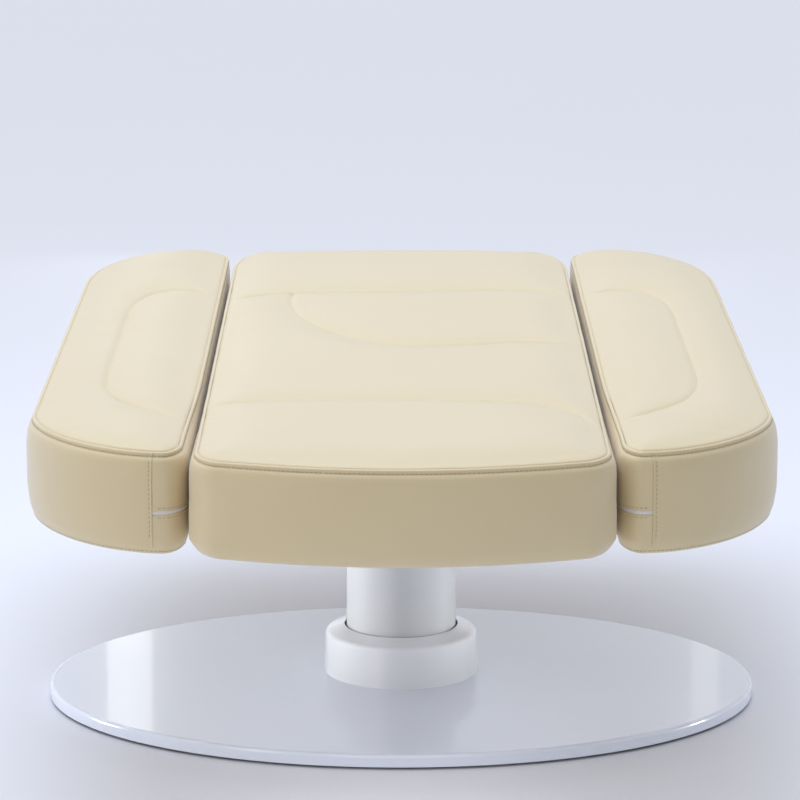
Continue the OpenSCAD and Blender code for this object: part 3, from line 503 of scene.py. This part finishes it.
def wing_outline():
    """Face line of the right wing, anticlockwise from its inner front corner."""
    inner, outer = WING_X, WING_X + WING_W
    (back_x, back_y), (front_x, front_y) = np.array(WING_SHAPE["apexes"]) * MM
    back_run, front_run = np.array(WING_SHAPE["straights"]) * MM
    back_power, front_power = WING_SHAPE["powers"]

    def quarter(middle, size, power, start, end):
        a = np.radians(np.linspace(start, end, CORNER_STEPS))
        across = np.clip(np.cos(a), 0, 1) ** (2 / power)
        along = np.clip(np.sin(a), 0, 1) ** (2 / power)
        return np.stack([middle[0] + size[0] * across, middle[1] + size[1] * along], 1)

    bx, fx = inner + back_x, inner + front_x
    return np.vstack([
        quarter((bx, WING_BACK - back_y), (inner - bx, back_y), 2, 0, 90),
        quarter((bx, WING_BACK - back_run), (outer - bx, back_run), back_power, 90, 0)[1:],
        quarter((fx, WING_FRONT + front_run), (outer - fx, -front_run), front_power, 0, 90),
        quarter((fx, WING_FRONT + front_y), (inner - fx, -front_y), 2, 90, 0)[1:],
    ])[::-1]


def centre_lines():
    """Sewn lines of the centre panel."""
    half = np.array(CENTRE_HALF) - SOLID_SEAM
    return [smooth_line(np.array(line) * half, 2 * MM) for line in (FAR_LINE, NEAR_LINE, CURVED_LINE)]


def wing_lines():
    """Sewn contour of the wing panel."""
    return [smooth_line(np.array(CONTOUR) * MM + [WING_X, 0], 2 * MM)]


# Edge of a cushion, from the join with its panel: the turned seam, which stands up like a bead, and the
# stitched channel under it, as distance outwards from the join and height against the seam, in mm
EDGE = [
    (0.4, -2.8), (0.8, -1.4), (1.4, -0.7), (2.4, -0.6), (3.6, -0.9), (4.8, -1.5), (5.6, -2.3), (5.9, -3.8),
    (5.9, -5.4), (5.8, -6.6), (5.9, -7.6), (6.2, -8.2),
]
STITCH_ROW = (5.8, -7.1)
# Shoulder below it: share of the way back from the face, and height in mm
SHOULDER = [
    (0.9, -8.7), (0.72, -9.6), (0.54, -11), (0.38, -12.9), (0.24, -15.6), (0.12, -20), (0.04, -27), (0, -38),
]
# The panel's own lip at the join: distance inwards and depth, in mm
RIM = [(0.0, -2.9), (0.7, -1.5), (1.6, -0.5), (3.0, 0.0), (5.0, 0.0), (8.0, 0.0), (12.0, 0.0)]
# Places across a sewn line where the panel has rows of points, in mm
LINE_ROWS = np.array([-10, -6, -3.4, -1.9, -0.9, 0, 0.9, 1.9, 3.4, 6, 10]) * MM
# A sewn line's depth and width, of the cut and of the dip around it, and how far from the rim it fades
LINE_CUT, LINE_DIP = (1.8, 1.3), (3.2, 7)
LINE_FADE = 50 * MM
# Stitch row of the hem, inset and height in mm: near a wing's lower edge, but under the centre cushion;
# and the groove beside a wing's row: its inset, depth and width
WING_HEM, CENTRE_HEM = (5.8, -3.0), (27.0, -1.5)
HEM_GROOVE = (12.6, 0.9, 1.4)
# Holes of the thread: their depth below the top seam and at the hem, and their width, in mm
SEAM_HOLE, HEM_HOLE, HOLE_WIDTH = 0.55, 0.4, 2.2
# Across an upright seam, in mm: the place, rise and width of its ridge, its cut and its stitch row
UPRIGHT_SECTION = ((1.6, 0.9, 1.3), (-0.1, -1.6, 0.7), (UPRIGHT_ROW / MM, -0.6, 1.8))
# Where the mesh has points beside an upright seam, and where it has rings beside the zip's middle, in mm
UPRIGHT_POINTS = np.array([-5, -3, -1.9, -1.2, -0.6, 0, 0.6, 1.2, 1.9, 3, 5]) * MM
ZIP_RINGS = (8.6, 6, 4.6, 3.9, 3.5, 3, 1, -1, -3, -3.5, -3.9, -4.6, -6, -8.6)
PLAIN_RINGS = (12, 6, 0, -6, -12)
# Its step above those and its heights below them, and the swelling's mesh: share of the seam's inset and
# height against the seam, then heights, in mm
RING_STEP, LOW_RINGS = 5.6, (45, 38, 31)
COARSE_EDGE, COARSE_RINGS = ((0.3, -11), (0.06, -25)), (112, 97, 82, 67, 52, 38)
# Shares of a mesh's spacing: kept free at the rim, step along a line, between rows, kept free at a line
RIM_FREE, LINE_STEP, ROW_STEP, LINE_FREE = 0.75, 0.85, 0.866, 0.7
# Points of an outline over which its normals are evened, and the insets in mm between which a ring goes
# from keeping square to the face to shrinking about the middle
NORMAL_SPREAD, SHRINK_INSETS = 6, (16, 30)


def smooth(share):
    """0 to 1 with soft ends."""
    share = np.clip(share, 0, 1)
    return share * share * (3 - 2 * share)


def bell(distance, width):
    """1 in the middle of a seam, falling off smoothly over a width."""
    return np.exp(-(distance / width) ** 2)


class Cushion:
    """Shape of one cushion: its outline, sewn lines, upright seams and zip."""

    def __init__(self, name, outline, lines, seam, side):
        self.name, self.lines, self.seam, self.side = name, lines, seam, side
        self.is_wing = name != "centre"
        centre, wing = (CENTRE_ROUND, CENTRE_HEM, CENTRE_SAG), (WING_ROUND, WING_HEM, WING_SAG)
        self.round, self.hem, self.sag = wing if self.is_wing else centre
        self.middle = (outline.max(0) + outline.min(0)) / 2
        self.half = (outline.max(0) - outline.min(0)) / 2
        self.low_end = outline[:, 1].min()
        self.dense = evenly(outline, 0.5 * MM, closed=True)
        out = outward(self.dense)
        n = NORMAL_SPREAD
        even = np.ones(2 * n + 1) / (2 * n + 1)
        around = np.vstack([out[-n:], out, out[:n]])
        self.out = np.stack([np.convolve(around[:, k], even, "valid") for k in (0, 1)], 1)
        self.run = lengths(self.dense, True)
        self.total = self.run[-1]
        self.count = round(self.total / STITCH_PITCH)
        self.pitch = self.total / self.count
        self.uprights = []
        if self.is_wing:
            for spot in ((WING_X + FRONT_SEAM_X, WING_FRONT), (WING_X + BACK_SEAM_X, WING_BACK)):
                self.uprights.append(self.run[np.argmin(np.linalg.norm(self.dense - spot, axis=1))])

    def base(self, places):
        """Points of the face line and their outward normals at distances along it."""
        places = np.asarray(places) % self.total
        ring = at_lengths(self.dense, places, True)
        around = np.vstack([self.out, self.out[:1]])
        out = np.stack([np.interp(places, self.run, around[:, k]) for k in (0, 1)], 1)
        return ring, out / np.linalg.norm(out, axis=1)[:, None]

    def spots(self, places, inset, height):
        """Points in space at distances along the outline, with an inset and a height in mm."""
        ring, normals = self.base(places)
        height = np.full(len(ring), 1.0) * height
        flat = self.ring_at(ring, normals, inset, height)
        flat = flat + normals * self.bulge(ring, normals, height)[:, None]
        tall = CUSHION_Z + height * MM
        return np.column_stack([flat[:, 0] * self.side, flat[:, 1], tall])

    def sample(self, spacing, fine):
        """Distances along the outline where the mesh has points, closer together at the upright seams."""
        count = 2 * self.count if fine else round(self.total / spacing)
        places = np.arange(count) * self.total / count
        if fine:
            for seam in self.uprights:
                places = places[np.abs(places - seam) > UPRIGHT_POINTS[-1] + 1 * MM]
                places = np.sort(np.concatenate([places, (seam + UPRIGHT_POINTS) % self.total]))
        self.places = places
        return self.base(places)

    def inset(self, ring, normals, amount):
        """The ring moved in: square to the face by a small amount, shrunk about the middle by a large one."""
        amount = np.full(len(ring), 1.0)[:, None] * np.reshape(amount, (-1, 1))
        straight = ring - normals * amount
        shrunk = self.middle + (ring - self.middle) * (1 - amount / self.half)
        low, high = SHRINK_INSETS
        share = smooth((amount / MM - low) / (high - low))
        return straight * (1 - share) + shrunk * share

    def ring_at(self, ring, normals, inset, height):
        """The ring at an inset and a height in mm, before the sides bulge."""
        return self.inset(ring, normals, self.leaning(ring, normals, inset, height))

    def leaning(self, ring, normals, inset, height):
        """An inset in mm as a distance at each place, with the seam nearer to the face on the long sides."""
        ease = smooth((ring[:, 1] - self.low_end - LEAN_START) / LEAN_RUN)
        reach = self.seam / MM - EDGE[-1][0]
        if not self.is_wing:
            low, high = DRAW_HEIGHTS
            draw = CENTRE_DRAW * np.abs(normals[:, 0]) ** INNER_ONLY * ease
            draw = draw * smooth((height - low) / (high - low))
            return (inset + draw * np.clip(1 - inset / reach, 0, 1)) * MM
        lean = WING_LEAN * np.clip(-normals[:, 0], 0, 1) ** INNER_ONLY * ease
        lean += WING_OUTER_LEAN * np.clip(normals[:, 0], 0, 1) ** OUTER_ONLY
        leant = np.where(inset >= reach, inset - lean, inset * (reach - lean) / reach)
        return np.where(height > THICK / 2, leant, inset) * MM

    def height(self, points, rim):
        """Height of the panel over points of its plane."""
        self.to_seam, _ = nearest(points, rim)
        low, high = rim.min(0), rim.max(0)
        if self.is_wing:
            rises = self.rise(points[:, 0] - low[0]) * self.rise(self.to_seam)
        else:
            side = np.maximum(np.minimum(points[:, 0] - low[0], high[0] - points[:, 0]), self.to_seam * 0.2)
            rises = self.rise(side) * self.rise(self.end_distance(points, rim))
        z = SEAM_Z + CROWN * rises + EDGE_ROLL * (1 - np.exp(-self.to_seam / EDGE_ROLL_REACH))
        fade = np.clip(self.to_seam / LINE_FADE, 0, 1)
        for line in self.lines:
            gap = nearest(points, line)[0] / MM
            cut = LINE_CUT[0] * np.exp(-gap / LINE_CUT[1])
            z -= fade * MM * (cut + LINE_DIP[0] * bell(gap, LINE_DIP[1]))
        return z

    @staticmethod
    def rise(distance):
        """Share of the crown at a distance from a seam."""
        return 1 - (1 - np.clip(distance, 0, CROWN_REACH) / CROWN_REACH) ** CROWN_POWER

    @staticmethod
    def end_distance(points, rim):
        """Distance of points from the bowed ends of the centre panel, along the bed."""
        out = []
        for sign in (-1, 1):
            end = rim[rim[:, 1] * sign > 0]
            end = end[np.argsort(end[:, 0])]
            out.append(np.interp(points[:, 0], end[:, 0], end[:, 1] * sign) - points[:, 1] * sign)
        return np.minimum(*out)

    def panel(self, ring, normals, spacing, fine):
        """Triangles of the top panel: points of the plane, faces, the numbers of its rim, and the rim."""
        steps = RIM if fine else RIM[:1]
        seam = self.seam / MM
        loops = [self.ring_at(ring, normals, seam + inset, THICK) for inset, _ in steps]
        clear = spacing * RIM_FREE + (steps[-1][0] * MM if fine else 0)
        rim = evenly(loops[0], 1 * MM, True)
        points, edges, rows = [], [], []
        for loop in loops:
            start, n = len(points), len(loop)
            points.extend(loop)
            edges.extend((start + k, start + (k + 1) % n) for k in range(n))
        offsets = LINE_ROWS if fine else [0.0]
        for number, line in enumerate(self.lines):
            row = evenly(line, spacing * LINE_STEP if fine else spacing)
            along = np.gradient(row, axis=0)
            across = np.stack([along[:, 1], -along[:, 0]], 1)
            across /= np.linalg.norm(across, axis=1)[:, None]
            for offset in offsets:
                moved = row + across * offset
                keep = self.inside(moved, loops[-1]) & (nearest(moved, rim)[0] > clear)
                if number == 2:
                    keep &= nearest(moved, self.lines[0])[0] > max(offsets) + 4 * MM
                order = len(points) + np.cumsum(keep) - 1
                points.extend(moved[keep])
                joined = np.nonzero(keep[:-1] & keep[1:])[0]
                edges.extend((order[k], order[k] + 1) for k in joined)
                rows.append(moved[keep])
        low, high = loops[-1].min(0), loops[-1].max(0)
        xs = np.arange(low[0], high[0], spacing)
        ys = np.arange(low[1], high[1], spacing * ROW_STEP)
        grid = np.array([(x + (j % 2) * spacing / 2, y) for j, y in enumerate(ys) for x in xs])
        grid = grid[self.inside(grid, loops[-1])]
        grid = grid[nearest(grid, rim)[0] > clear]
        grid = grid[nearest(grid, np.vstack(rows))[0] > spacing * LINE_FREE]
        points.extend(grid)
        found = delaunay_2d_cdt([Vector(p) for p in points], edges, [], 1, 1e-7, True)
        plane = np.array([tuple(v) for v in found[0]])
        back = {old: new for new, olds in enumerate(found[3]) for old in olds}
        numbers = [back[k] for k in range(len(ring))]
        return plane, [f for f in found[2] if len(f) == 3], numbers, rim

    def levels(self, fine):
        """Insets and heights in mm down the side and under the cushion."""
        t, seam, r = THICK, self.seam / MM, self.round / MM
        turn = np.radians(np.linspace(8, 90, 12 if fine else 4))
        sag = self.sag / MM
        foot = [(r * (1 - math.cos(a)), (r * FOOT_TALL + sag) * (1 - math.sin(a)) - sag) for a in turn]
        foot += [(r + inwards, -sag * share) for inwards, share in SAG_END] + [(RETURN_END / MM, 0)]
        if not fine:
            edge = [(share * seam, t + z) for share, z in COARSE_EDGE]
            return edge + [(0, z) for z in COARSE_RINGS] + foot
        side = [(0, t + SHOULDER[-1][1] - RING_STEP * k) for k in range(1, 7)]
        side += [(0, ZIP_HEIGHT + dz) for dz in (ZIP_RINGS if self.is_wing else PLAIN_RINGS)]
        side += [(0, z) for z in LOW_RINGS]
        edge = [(seam - out, t + z) for out, z in EDGE]
        return edge + [(share * edge[-1][0], t + z) for share, z in SHOULDER] + side + foot

    def side_shift(self, inset, height, fine):
        """Shift along the outward normal at each place: stitch holes, upright seams, zip slot and hem."""
        shift = np.zeros(len(self.places))
        if not fine:
            return shift
        drop = height - THICK
        hole = 0.5 + 0.5 * np.cos(2 * np.pi * self.places / self.pitch)
        shift -= SEAM_HOLE * hole * bell(drop - STITCH_ROW[1], HOLE_WIDTH)
        if self.is_wing:
            shift -= HEM_HOLE * hole * bell(height - self.hem[1], HOLE_WIDTH)
            if 0 < inset < self.round / MM and height < 20:
                at, depth, width = HEM_GROOVE
                shift -= depth * bell(inset - at, width)
            fade = np.clip((height - 1) / 8, 0, 1) * np.clip((-drop + 1) / 6, 0.35, 1)
            for seam, hand in zip(self.uprights, (1, -1)):
                gap = (self.places - seam) * hand
                gap = ((gap + self.total / 2) % self.total - self.total / 2) / MM
                shift += fade * sum(rise * bell(gap - at, width) for at, rise, width in UPRIGHT_SECTION)
            away = abs(height - ZIP_HEIGHT)
            slot = 1 / (1 + math.exp(min((away - ZIP_HALF) / 0.16, 50)))
            at, rise, width = ZIP_LIP
            shift += self.on_zip() * (rise * bell(away - at, width) - ZIP_DEPTH / MM * slot)
        return shift * MM

    def bulge(self, ring, normals, height):
        """How far each place of a side stands out at a height in mm, most in the middle of its length."""
        away = np.minimum(height, THICK - height) * MM
        outer = OUTER_BULGE * smooth(away / OUTER_REACH) * np.clip(normals[:, 0], 0, 1) * self.is_wing
        a, b, c, d = INNER_HEIGHTS
        low_down = smooth((height - a) / (b - a)) * (1 - smooth((height - c) / (d - c)))
        to_end = self.half[1] - np.abs(ring[:, 1] - self.middle[1])
        from_end = smooth((to_end - BULGE_START) / BULGE_RUN)
        facing = np.clip(-normals[:, 0], 0, 1) if self.is_wing else np.abs(normals[:, 0])
        return outer + INNER_BULGE * low_down * from_end * facing ** INNER_ONLY

    def zip_run(self):
        """Where the zip starts, at the back upright seam, and how far it runs to the front one."""
        front, back = self.uprights
        return back, (front - back) % self.total

    def on_zip(self):
        """1 at the places between the upright seams on the wing's inner side, and 0 elsewhere."""
        back, span = self.zip_run()
        gone = (self.places - back) % self.total
        return ((gone > 0.4 * MM) & (gone < span - 0.4 * MM)).astype(float)

    @staticmethod
    def inside(points, ring):
        """Which points lie inside a closed ring."""
        ring = evenly(ring, 6 * MM, True)
        x, y = points[:, 0][:, None], points[:, 1][:, None]
        a, b = ring, np.roll(ring, -1, 0)
        result = np.zeros(len(points), bool)
        for start in range(0, len(points), 4000):
            part = slice(start, start + 4000)
            crosses = (a[:, 1] > y[part]) != (b[:, 1] > y[part])
            with np.errstate(divide="ignore", invalid="ignore"):
                at = a[:, 0] + (y[part] - a[:, 1]) / (b[:, 1] - a[:, 1]) * (b[:, 0] - a[:, 0])
            result[part] = (np.sum(crosses & (x[part] < at), 1) % 2) == 1
        return result

    def build(self, name, spacing, fine):
        """The cushion's mesh object, and the numbers of the points that a swelling mustn't move."""
        ring, normals = self.sample(spacing, fine)
        plane, faces, numbers, rim = self.panel(ring, normals, spacing, fine)
        z = self.height(plane, rim) + np.interp(self.to_seam / MM, *zip(*RIM)) * MM
        points = [np.column_stack([plane, z])]
        count, n = len(plane), len(ring)
        previous = np.array(numbers)
        held = set(numbers)
        for inset, height in self.levels(fine):
            shift = self.side_shift(inset, height, fine) + self.bulge(ring, normals, height)
            loop = self.ring_at(ring, normals, inset, height) + normals * shift[:, None]
            points.append(np.column_stack([loop, np.full(n, CUSHION_Z + height * MM)]))
            current = count + np.arange(n)
            corners = (previous, current, np.roll(current, -1), np.roll(previous, -1))
            faces.extend(zip(*(c.tolist() for c in corners)))
            if height > THICK - HELD_TOP or height < HELD_LOW:
                held |= set(current.tolist())
            previous = current
            count += n
        points.append(np.array([[*self.middle, CUSHION_Z]]))
        faces.extend((int(a), count, int(b)) for a, b in zip(previous, np.roll(previous, -1)))
        held.add(count)
        for line in self.lines:
            held |= set(np.nonzero(nearest(plane, line)[0] < HELD_LINE)[0].tolist())
        co = np.vstack(points) * [self.side, 1, 1]
        return new_object(name, co, faces, solid=True), sorted(held)


def new_object(name, points, faces, solid=False):
    """A mesh object with smooth shading; a solid one's faces are turned outwards."""
    mesh = bpy.data.meshes.new(name)
    mesh.from_pydata([tuple(p) for p in points], [], faces)
    if solid:
        shape = bmesh.new()
        shape.from_mesh(mesh)
        bmesh.ops.recalc_face_normals(shape, faces=shape.faces)
        shape.to_mesh(mesh)
        shape.free()
    mesh.shade_smooth()
    made = bpy.data.objects.new(name, mesh)
    bpy.context.scene.collection.objects.link(made)
    return made


def points_of(made):
    """The places of an object's points, one in each row."""
    flat = np.zeros(len(made.data.vertices) * 3)
    made.data.vertices.foreach_get("co", flat)
    return flat.reshape(-1, 3)


def swellings(coarse):
    """Swells the coarse cushions with a pressure inside, and returns how far each of their points moved."""
    scene = bpy.context.scene
    for made, pinned in coarse:
        group = made.vertex_groups.new(name="sewn")
        group.add([int(i) for i in pinned], 1.0, "REPLACE")
        cloth = made.modifiers.new("swell", "CLOTH")
        for setting, value in SWELL_SETTINGS.items():
            setattr(cloth.settings, setting, value)
        cloth.settings.effector_weights.gravity = 0
        cloth.settings.vertex_group_mass = group.name
        cloth.point_cache.frame_start = 1
        cloth.point_cache.frame_end = SWELL_FRAMES
    for number in range(1, SWELL_FRAMES + 1):
        scene.frame_set(number)
    graph = bpy.context.evaluated_depsgraph_get()
    moved = [points_of(made.evaluated_get(graph)) - points_of(made) for made, _ in coarse]
    scene.frame_set(1)
    return moved


def carry(coarse, moved, fine):
    """Moves the fine cushion's points as the swelling moved the coarse one's."""
    step = np.linalg.norm(moved, axis=1)
    moved = moved * (SWELL_CAP * np.tanh(step / SWELL_CAP) / np.maximum(step, 1e-9))[:, None]
    mesh = coarse.data
    mesh.calc_loop_triangles()
    corners = [tuple(t.vertices) for t in mesh.loop_triangles]
    co = points_of(coarse)
    tree = BVHTree.FromPolygons([tuple(p) for p in co], corners)
    for vertex in fine.data.vertices:
        place, _, index, _ = tree.find_nearest(vertex.co)
        a, b, c = corners[index]
        edge_a, edge_b, to = co[b] - co[a], co[c] - co[a], np.array(place) - co[a]
        aa, ab, bb = edge_a @ edge_a, edge_a @ edge_b, edge_b @ edge_b
        ta, tb = to @ edge_a, to @ edge_b
        area = max(aa * bb - ab * ab, 1e-18)
        v, w = (bb * ta - ab * tb) / area, (aa * tb - ab * ta) / area
        vertex.co = vertex.co + Vector(moved[a] * (1 - v - w) + moved[b] * v + moved[c] * w)


def ripple(made, shape):
    """Fine unevenness of stretched leatherette: a slow waver, and faint pulls at the seams."""
    co = points_of(made)
    normals = np.array([v.normal for v in made.data.vertices])
    waves = np.zeros(len(co))
    for length, size in WAVES:
        for turn, start in RNG.uniform(0, 2 * np.pi, (3, 2)):
            along = co[:, 0] * math.cos(turn) + co[:, 1] * math.sin(turn) + 0.7 * co[:, 2]
            waves += size * np.sin(2 * np.pi * along / length + start) / 3
    away, which = nearest(co[:, :2] * [shape.side, 1], evenly(shape.dense, PUCKER_STEP, True))
    reach = away + np.abs(co[:, 2] - SEAM_Z)
    pull = np.exp(-reach / PUCKER_REACH) * (1 - bell(reach, PUCKER_START))
    turns = 2 * np.pi * which * PUCKER_STEP
    puckers = sum(size * np.sin(turns / length + start) for length, size, start in PUCKERS)
    top = (co[:, 2] > CUSHION_Z + RIPPLE_LOW) * np.clip(reach / RIPPLE_RUN, 0, 1)
    co += normals * ((waves + puckers * pull) * MM * top)[:, None]
    made.data.vertices.foreach_set("co", co.ravel())
    made.data.update()


def keep_clear(made, is_wing):
    """Keeps a cushion on its own side of the gap beside it."""
    middle = (CENTRE_HALF[0] + WING_X) / 2
    for vertex in made.data.vertices:
        x = vertex.co.x
        near = max(abs(x), middle + CLEAR) if is_wing else min(abs(x), middle - CLEAR)
        vertex.co.x = math.copysign(near, x)


def tube_faces(start, rings, sides):
    """Faces of a closed tube whose rings of points follow each other from a number on."""
    faces = []
    for ring in range(rings - 1):
        for k in range(sides):
            a, b = start + ring * sides + k, start + ring * sides + (k + 1) % sides
            faces.append((a, b, b + sides, a + sides))
    faces.append(tuple(start + k for k in range(sides))[::-1])
    faces.append(tuple(start + (rings - 1) * sides + k for k in range(sides)))
    return faces


def capsules(name, places, length, radius, sink):
    """One mesh of short thread capsules: each place is a point, its direction and the surface's normal."""
    points, faces = [], []
    for place, along, up in places:
        across = np.cross(along, up)
        start = len(points)
        for share, size in STITCH_SHAPE:
            middle = place + along * length * share - up * sink * (2 * abs(share)) ** 3
            for k in range(STITCH_SIDES):
                a = 2 * math.pi * k / STITCH_SIDES
                points.append(middle + radius * size * (math.cos(a) * across + math.sin(a) * up))
        faces.extend(tube_faces(start, len(STITCH_SHAPE), STITCH_SIDES))
    return new_object(name, points, faces)


def sewn_row(tree, before, spots, after):
    """Places of a row's stitches on a surface, from their middles and the points before and after them."""
    places = []
    for a, spot, b in zip(before, spots, after):
        on, up, _, _ = tree.find_nearest(Vector(spot))
        up = np.array(up)
        along = b - a - up * ((b - a) @ up)
        places.append((np.array(on) + up * THREAD_R * 0.35, along / np.linalg.norm(along), up))
    return places


def sew(made, shape):
    """The stitch rows of a cushion: below its turned seam, at the hem, and beside upright seams and zip."""
    mesh = made.data
    tree = BVHTree.FromPolygons([v.co for v in mesh.vertices], [p.vertices for p in mesh.polygons])
    step = 1 * MM
    places = []

    def along_outline(run, inset, height):
        places.extend(sewn_row(tree, *(shape.spots(run + d, inset, height) for d in (-step, 0, step))))

    everywhere = (np.arange(shape.count) + 0.5) * shape.pitch
    along_outline(everywhere, shape.seam / MM - STITCH_ROW[0], THICK + STITCH_ROW[1])
    along_outline(everywhere, *shape.hem)
    if shape.is_wing:
        for seam, hand in zip(shape.uprights, (1, -1)):
            heights = np.arange(THICK - 14, 20, -STITCH_PITCH / MM)
            run = np.full(len(heights), seam + hand * UPRIGHT_ROW)
            places.extend(sewn_row(tree, *(shape.spots(run, 0, heights + d) for d in (1, 0, -1))))
        back, span = shape.zip_run()
        run = back + np.arange(STITCH_PITCH, span - STITCH_PITCH / 2, STITCH_PITCH)
        for above in (ZIP_ROW, -ZIP_ROW):
            along_outline(run, 0, ZIP_HEIGHT + above)
    return capsules(shape.name + "_stitching", places, STITCH_L, THREAD_R, 0.7 * THREAD_R)


def zip_pieces(shape):
    """The zip in its slot: woven tape, and the coil's teeth along its middle."""
    back, span = shape.zip_run()
    run = back + np.linspace(0, span, TAPE_STEPS)
    points = np.stack([shape.spots(run, inset, ZIP_HEIGHT + dz) for dz, inset in TAPE_SECTION], 1)
    faces = tube_faces(0, TAPE_STEPS, len(TAPE_SECTION))
    tape = new_object(shape.name + "_zip_tape", points.reshape(-1, 3), faces, solid=True)
    places = []
    run = back + np.arange(TOOTH_PITCH, span - TOOTH_PITCH, TOOTH_PITCH)
    for spot, out in zip(shape.spots(run, TOOTH_INSET, ZIP_HEIGHT), shape.base(run)[1]):
        places.append((spot, np.array([0, 0, 1.0]), np.array([out[0] * shape.side, out[1], 0])))
    return tape, capsules(shape.name + "_zip_coil", places, TOOTH_L, TOOTH_R, 0)


def upholster():
    """Makes the three cushions with their swelling, seams, thread and zips."""
    shapes = [
        Cushion("centre", centre_outline(), centre_lines(), CENTRE_SEAM, 1),
        Cushion("wing_right", wing_outline(), wing_lines(), WING_SEAM, 1),
        Cushion("wing_left", wing_outline(), wing_lines(), WING_SEAM, -1),
    ]
    coarse, moved = [], []
    coarse = [shape.build(shape.name + "_coarse", COARSE_STEP, False) for shape in shapes]
    moved = swellings(coarse)
    for i, shape in enumerate(shapes):
        made, _ = shape.build(shape.name + "_cover", FINE_STEP, True)
        carry(coarse[i][0], moved[i], made)
        ripple(made, shape)
        keep_clear(made, shape.is_wing)
        made.data.materials.append(MATERIALS["cream_leather"])
        body, nodes = "lift", ["centre_cushion", "centre_foam"]
        if shape.is_wing:
            body = shape.name
            nodes = [shape.name.replace("wing", "wing_" + part) for part in ("cushion", "foam")]
        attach(made, body)
        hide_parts(*nodes)
        thread = sew(made, shape)
        thread.data.materials.append(THREAD)
        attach(thread, body)
        if shape.is_wing:
            for piece, material in zip(zip_pieces(shape), (ZIP_TAPE, ZIP_COIL)):
                carry(coarse[i][0], moved[i], piece)
                piece.data.materials.append(material)
                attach(piece, body)
    for made, _ in coarse:
        bpy.data.objects.remove(made)


# Lamps: name, place, aim, width and height in m, beam in degrees, power in W, and colour
LAMPS = [
    ("overhead", (-0.45, 0.3, 3.4), (0, 0.1, 0.5), (2.6, 2.6), 180, 48, "#D4E4FF"),
    ("front_left", (-3.2, -4.2, 1.3), (0, 0, 0.4), (1.2, 1.2), 180, 14.5, "#FFEFDC"),
    ("left_side", (-3.0, 0.2, 0.2), (0, 0, 0.2), (1.6, 0.3), 12, 1.3, "#FAFBFF"),
    ("right_side", (3.0, 0.2, 0.2), (0, 0, 0.2), (1.6, 0.3), 12, 0.95, "#FAFBFF"),
    ("low_front", (0, -0.85, 0.22), (0, 0, 0.26), (0.5, 0.3), 180, 0.5, "#F6FAFF"),
    ("under_seat", (0, -0.4, 0.455), (0, -0.4, 0), (0.5, 1.0), 180, 1.4, "#E4ECFF"),
    ("left_streak", (-0.78, 4.2, 1.1), (-0.55, 0, 0.0), (0.13, 1.9), 180, 0.8, "#FFFFFF"),
    ("right_streak", (0.90, 4.2, 1.1), (0.6, 0, 0.0), (0.08, 1.9), 180, 0.2, "#FFFFFF"),
]
# The lamps that graze the floor light only the base and the column
GRAZING_LAMPS = ("left_side", "right_side")
PEDESTAL_NODES = ("base_cover", "column_collar", "column_tube", "lift_tube")
# Surroundings: how their strength changes along x, y and z, and its middle value
SKY_SLOPE, SKY_LEVEL = (-0.2, 0.36, 0.61), 0.47
FLOOR_HALF = 40.0
# Camera: place in m, how far it looks down and how far it is turned, in degrees, and its lens in mm
CAMERA_PLACE, CAMERA_DIP, CAMERA_TURN, CAMERA_LENS = (-0.020, -6.8045, 2.047), 12.4646, -0.1503, 176.3


def surroundings():
    """Pale surroundings: brightest above, behind and on the left, and dim on the camera's side."""
    world = bpy.data.worlds.new("studio")
    world.use_nodes = True
    tree = world.node_tree
    back = tree.nodes["Background"]
    back.inputs["Color"].default_value = linear("#F3F6FF")
    direction = add_node(tree, "TexCoord").outputs["Generated"]
    slope = add_node(tree, "VectorMath", {"operation": "DOT_PRODUCT", 1: SKY_SLOPE}, {0: direction})
    level = add_node(tree, "Math", {"operation": "ADD", 1: SKY_LEVEL}, {0: slope.outputs["Value"]})
    tree.links.new(level.outputs["Value"], back.inputs["Strength"])
    return world


def studio():
    """A plain pale floor, soft light from above and the sides, and the camera."""
    scene = bpy.context.scene
    scene.view_settings.view_transform = "Standard"
    corners = [(x * FLOOR_HALF, y * FLOOR_HALF, 0) for x, y in ((-1, -1), (1, -1), (1, 1), (-1, 1))]
    floor = new_object("floor", corners, [(0, 1, 2, 3)])
    floor.data.materials.append(mottled("studio_floor", 1667, 2.0, "#EEF0F6", "#F1F2F7", Roughness=0.5)[0])
    scene.world = surroundings()
    pedestal = bpy.data.collections.new("pedestal")
    for node in PEDESTAL_NODES:
        pedestal.objects.link(frame["nodes"][node])
    for name, spot, aim, area, beam, power, colour in LAMPS:
        data = bpy.data.lights.new(name, "AREA")
        data.shape = "RECTANGLE"
        data.size, data.size_y = area
        data.spread = math.radians(beam)
        data.energy = power
        data.color = linear(colour)[:3]
        lamp = bpy.data.objects.new(name, data)
        lamp.location = spot
        lamp.rotation_euler = (Vector(aim) - Vector(spot)).to_track_quat("-Z", "Y").to_euler()
        lamp.visible_camera = False
        lamp.visible_glossy = name != "under_seat"
        if name in GRAZING_LAMPS:
            lamp.light_linking.receiver_collection = pedestal
        scene.collection.objects.link(lamp)
    data = bpy.data.cameras.new("camera")
    data.lens = CAMERA_LENS
    data.sensor_width = 36
    data.clip_end = 100
    camera = bpy.data.objects.new("camera", data)
    camera.location = CAMERA_PLACE
    camera.rotation_euler = (math.radians(90 - CAMERA_DIP), 0, math.radians(CAMERA_TURN))
    scene.collection.objects.link(camera)
    scene.camera = camera


studio()
dress_frame()
upholster()
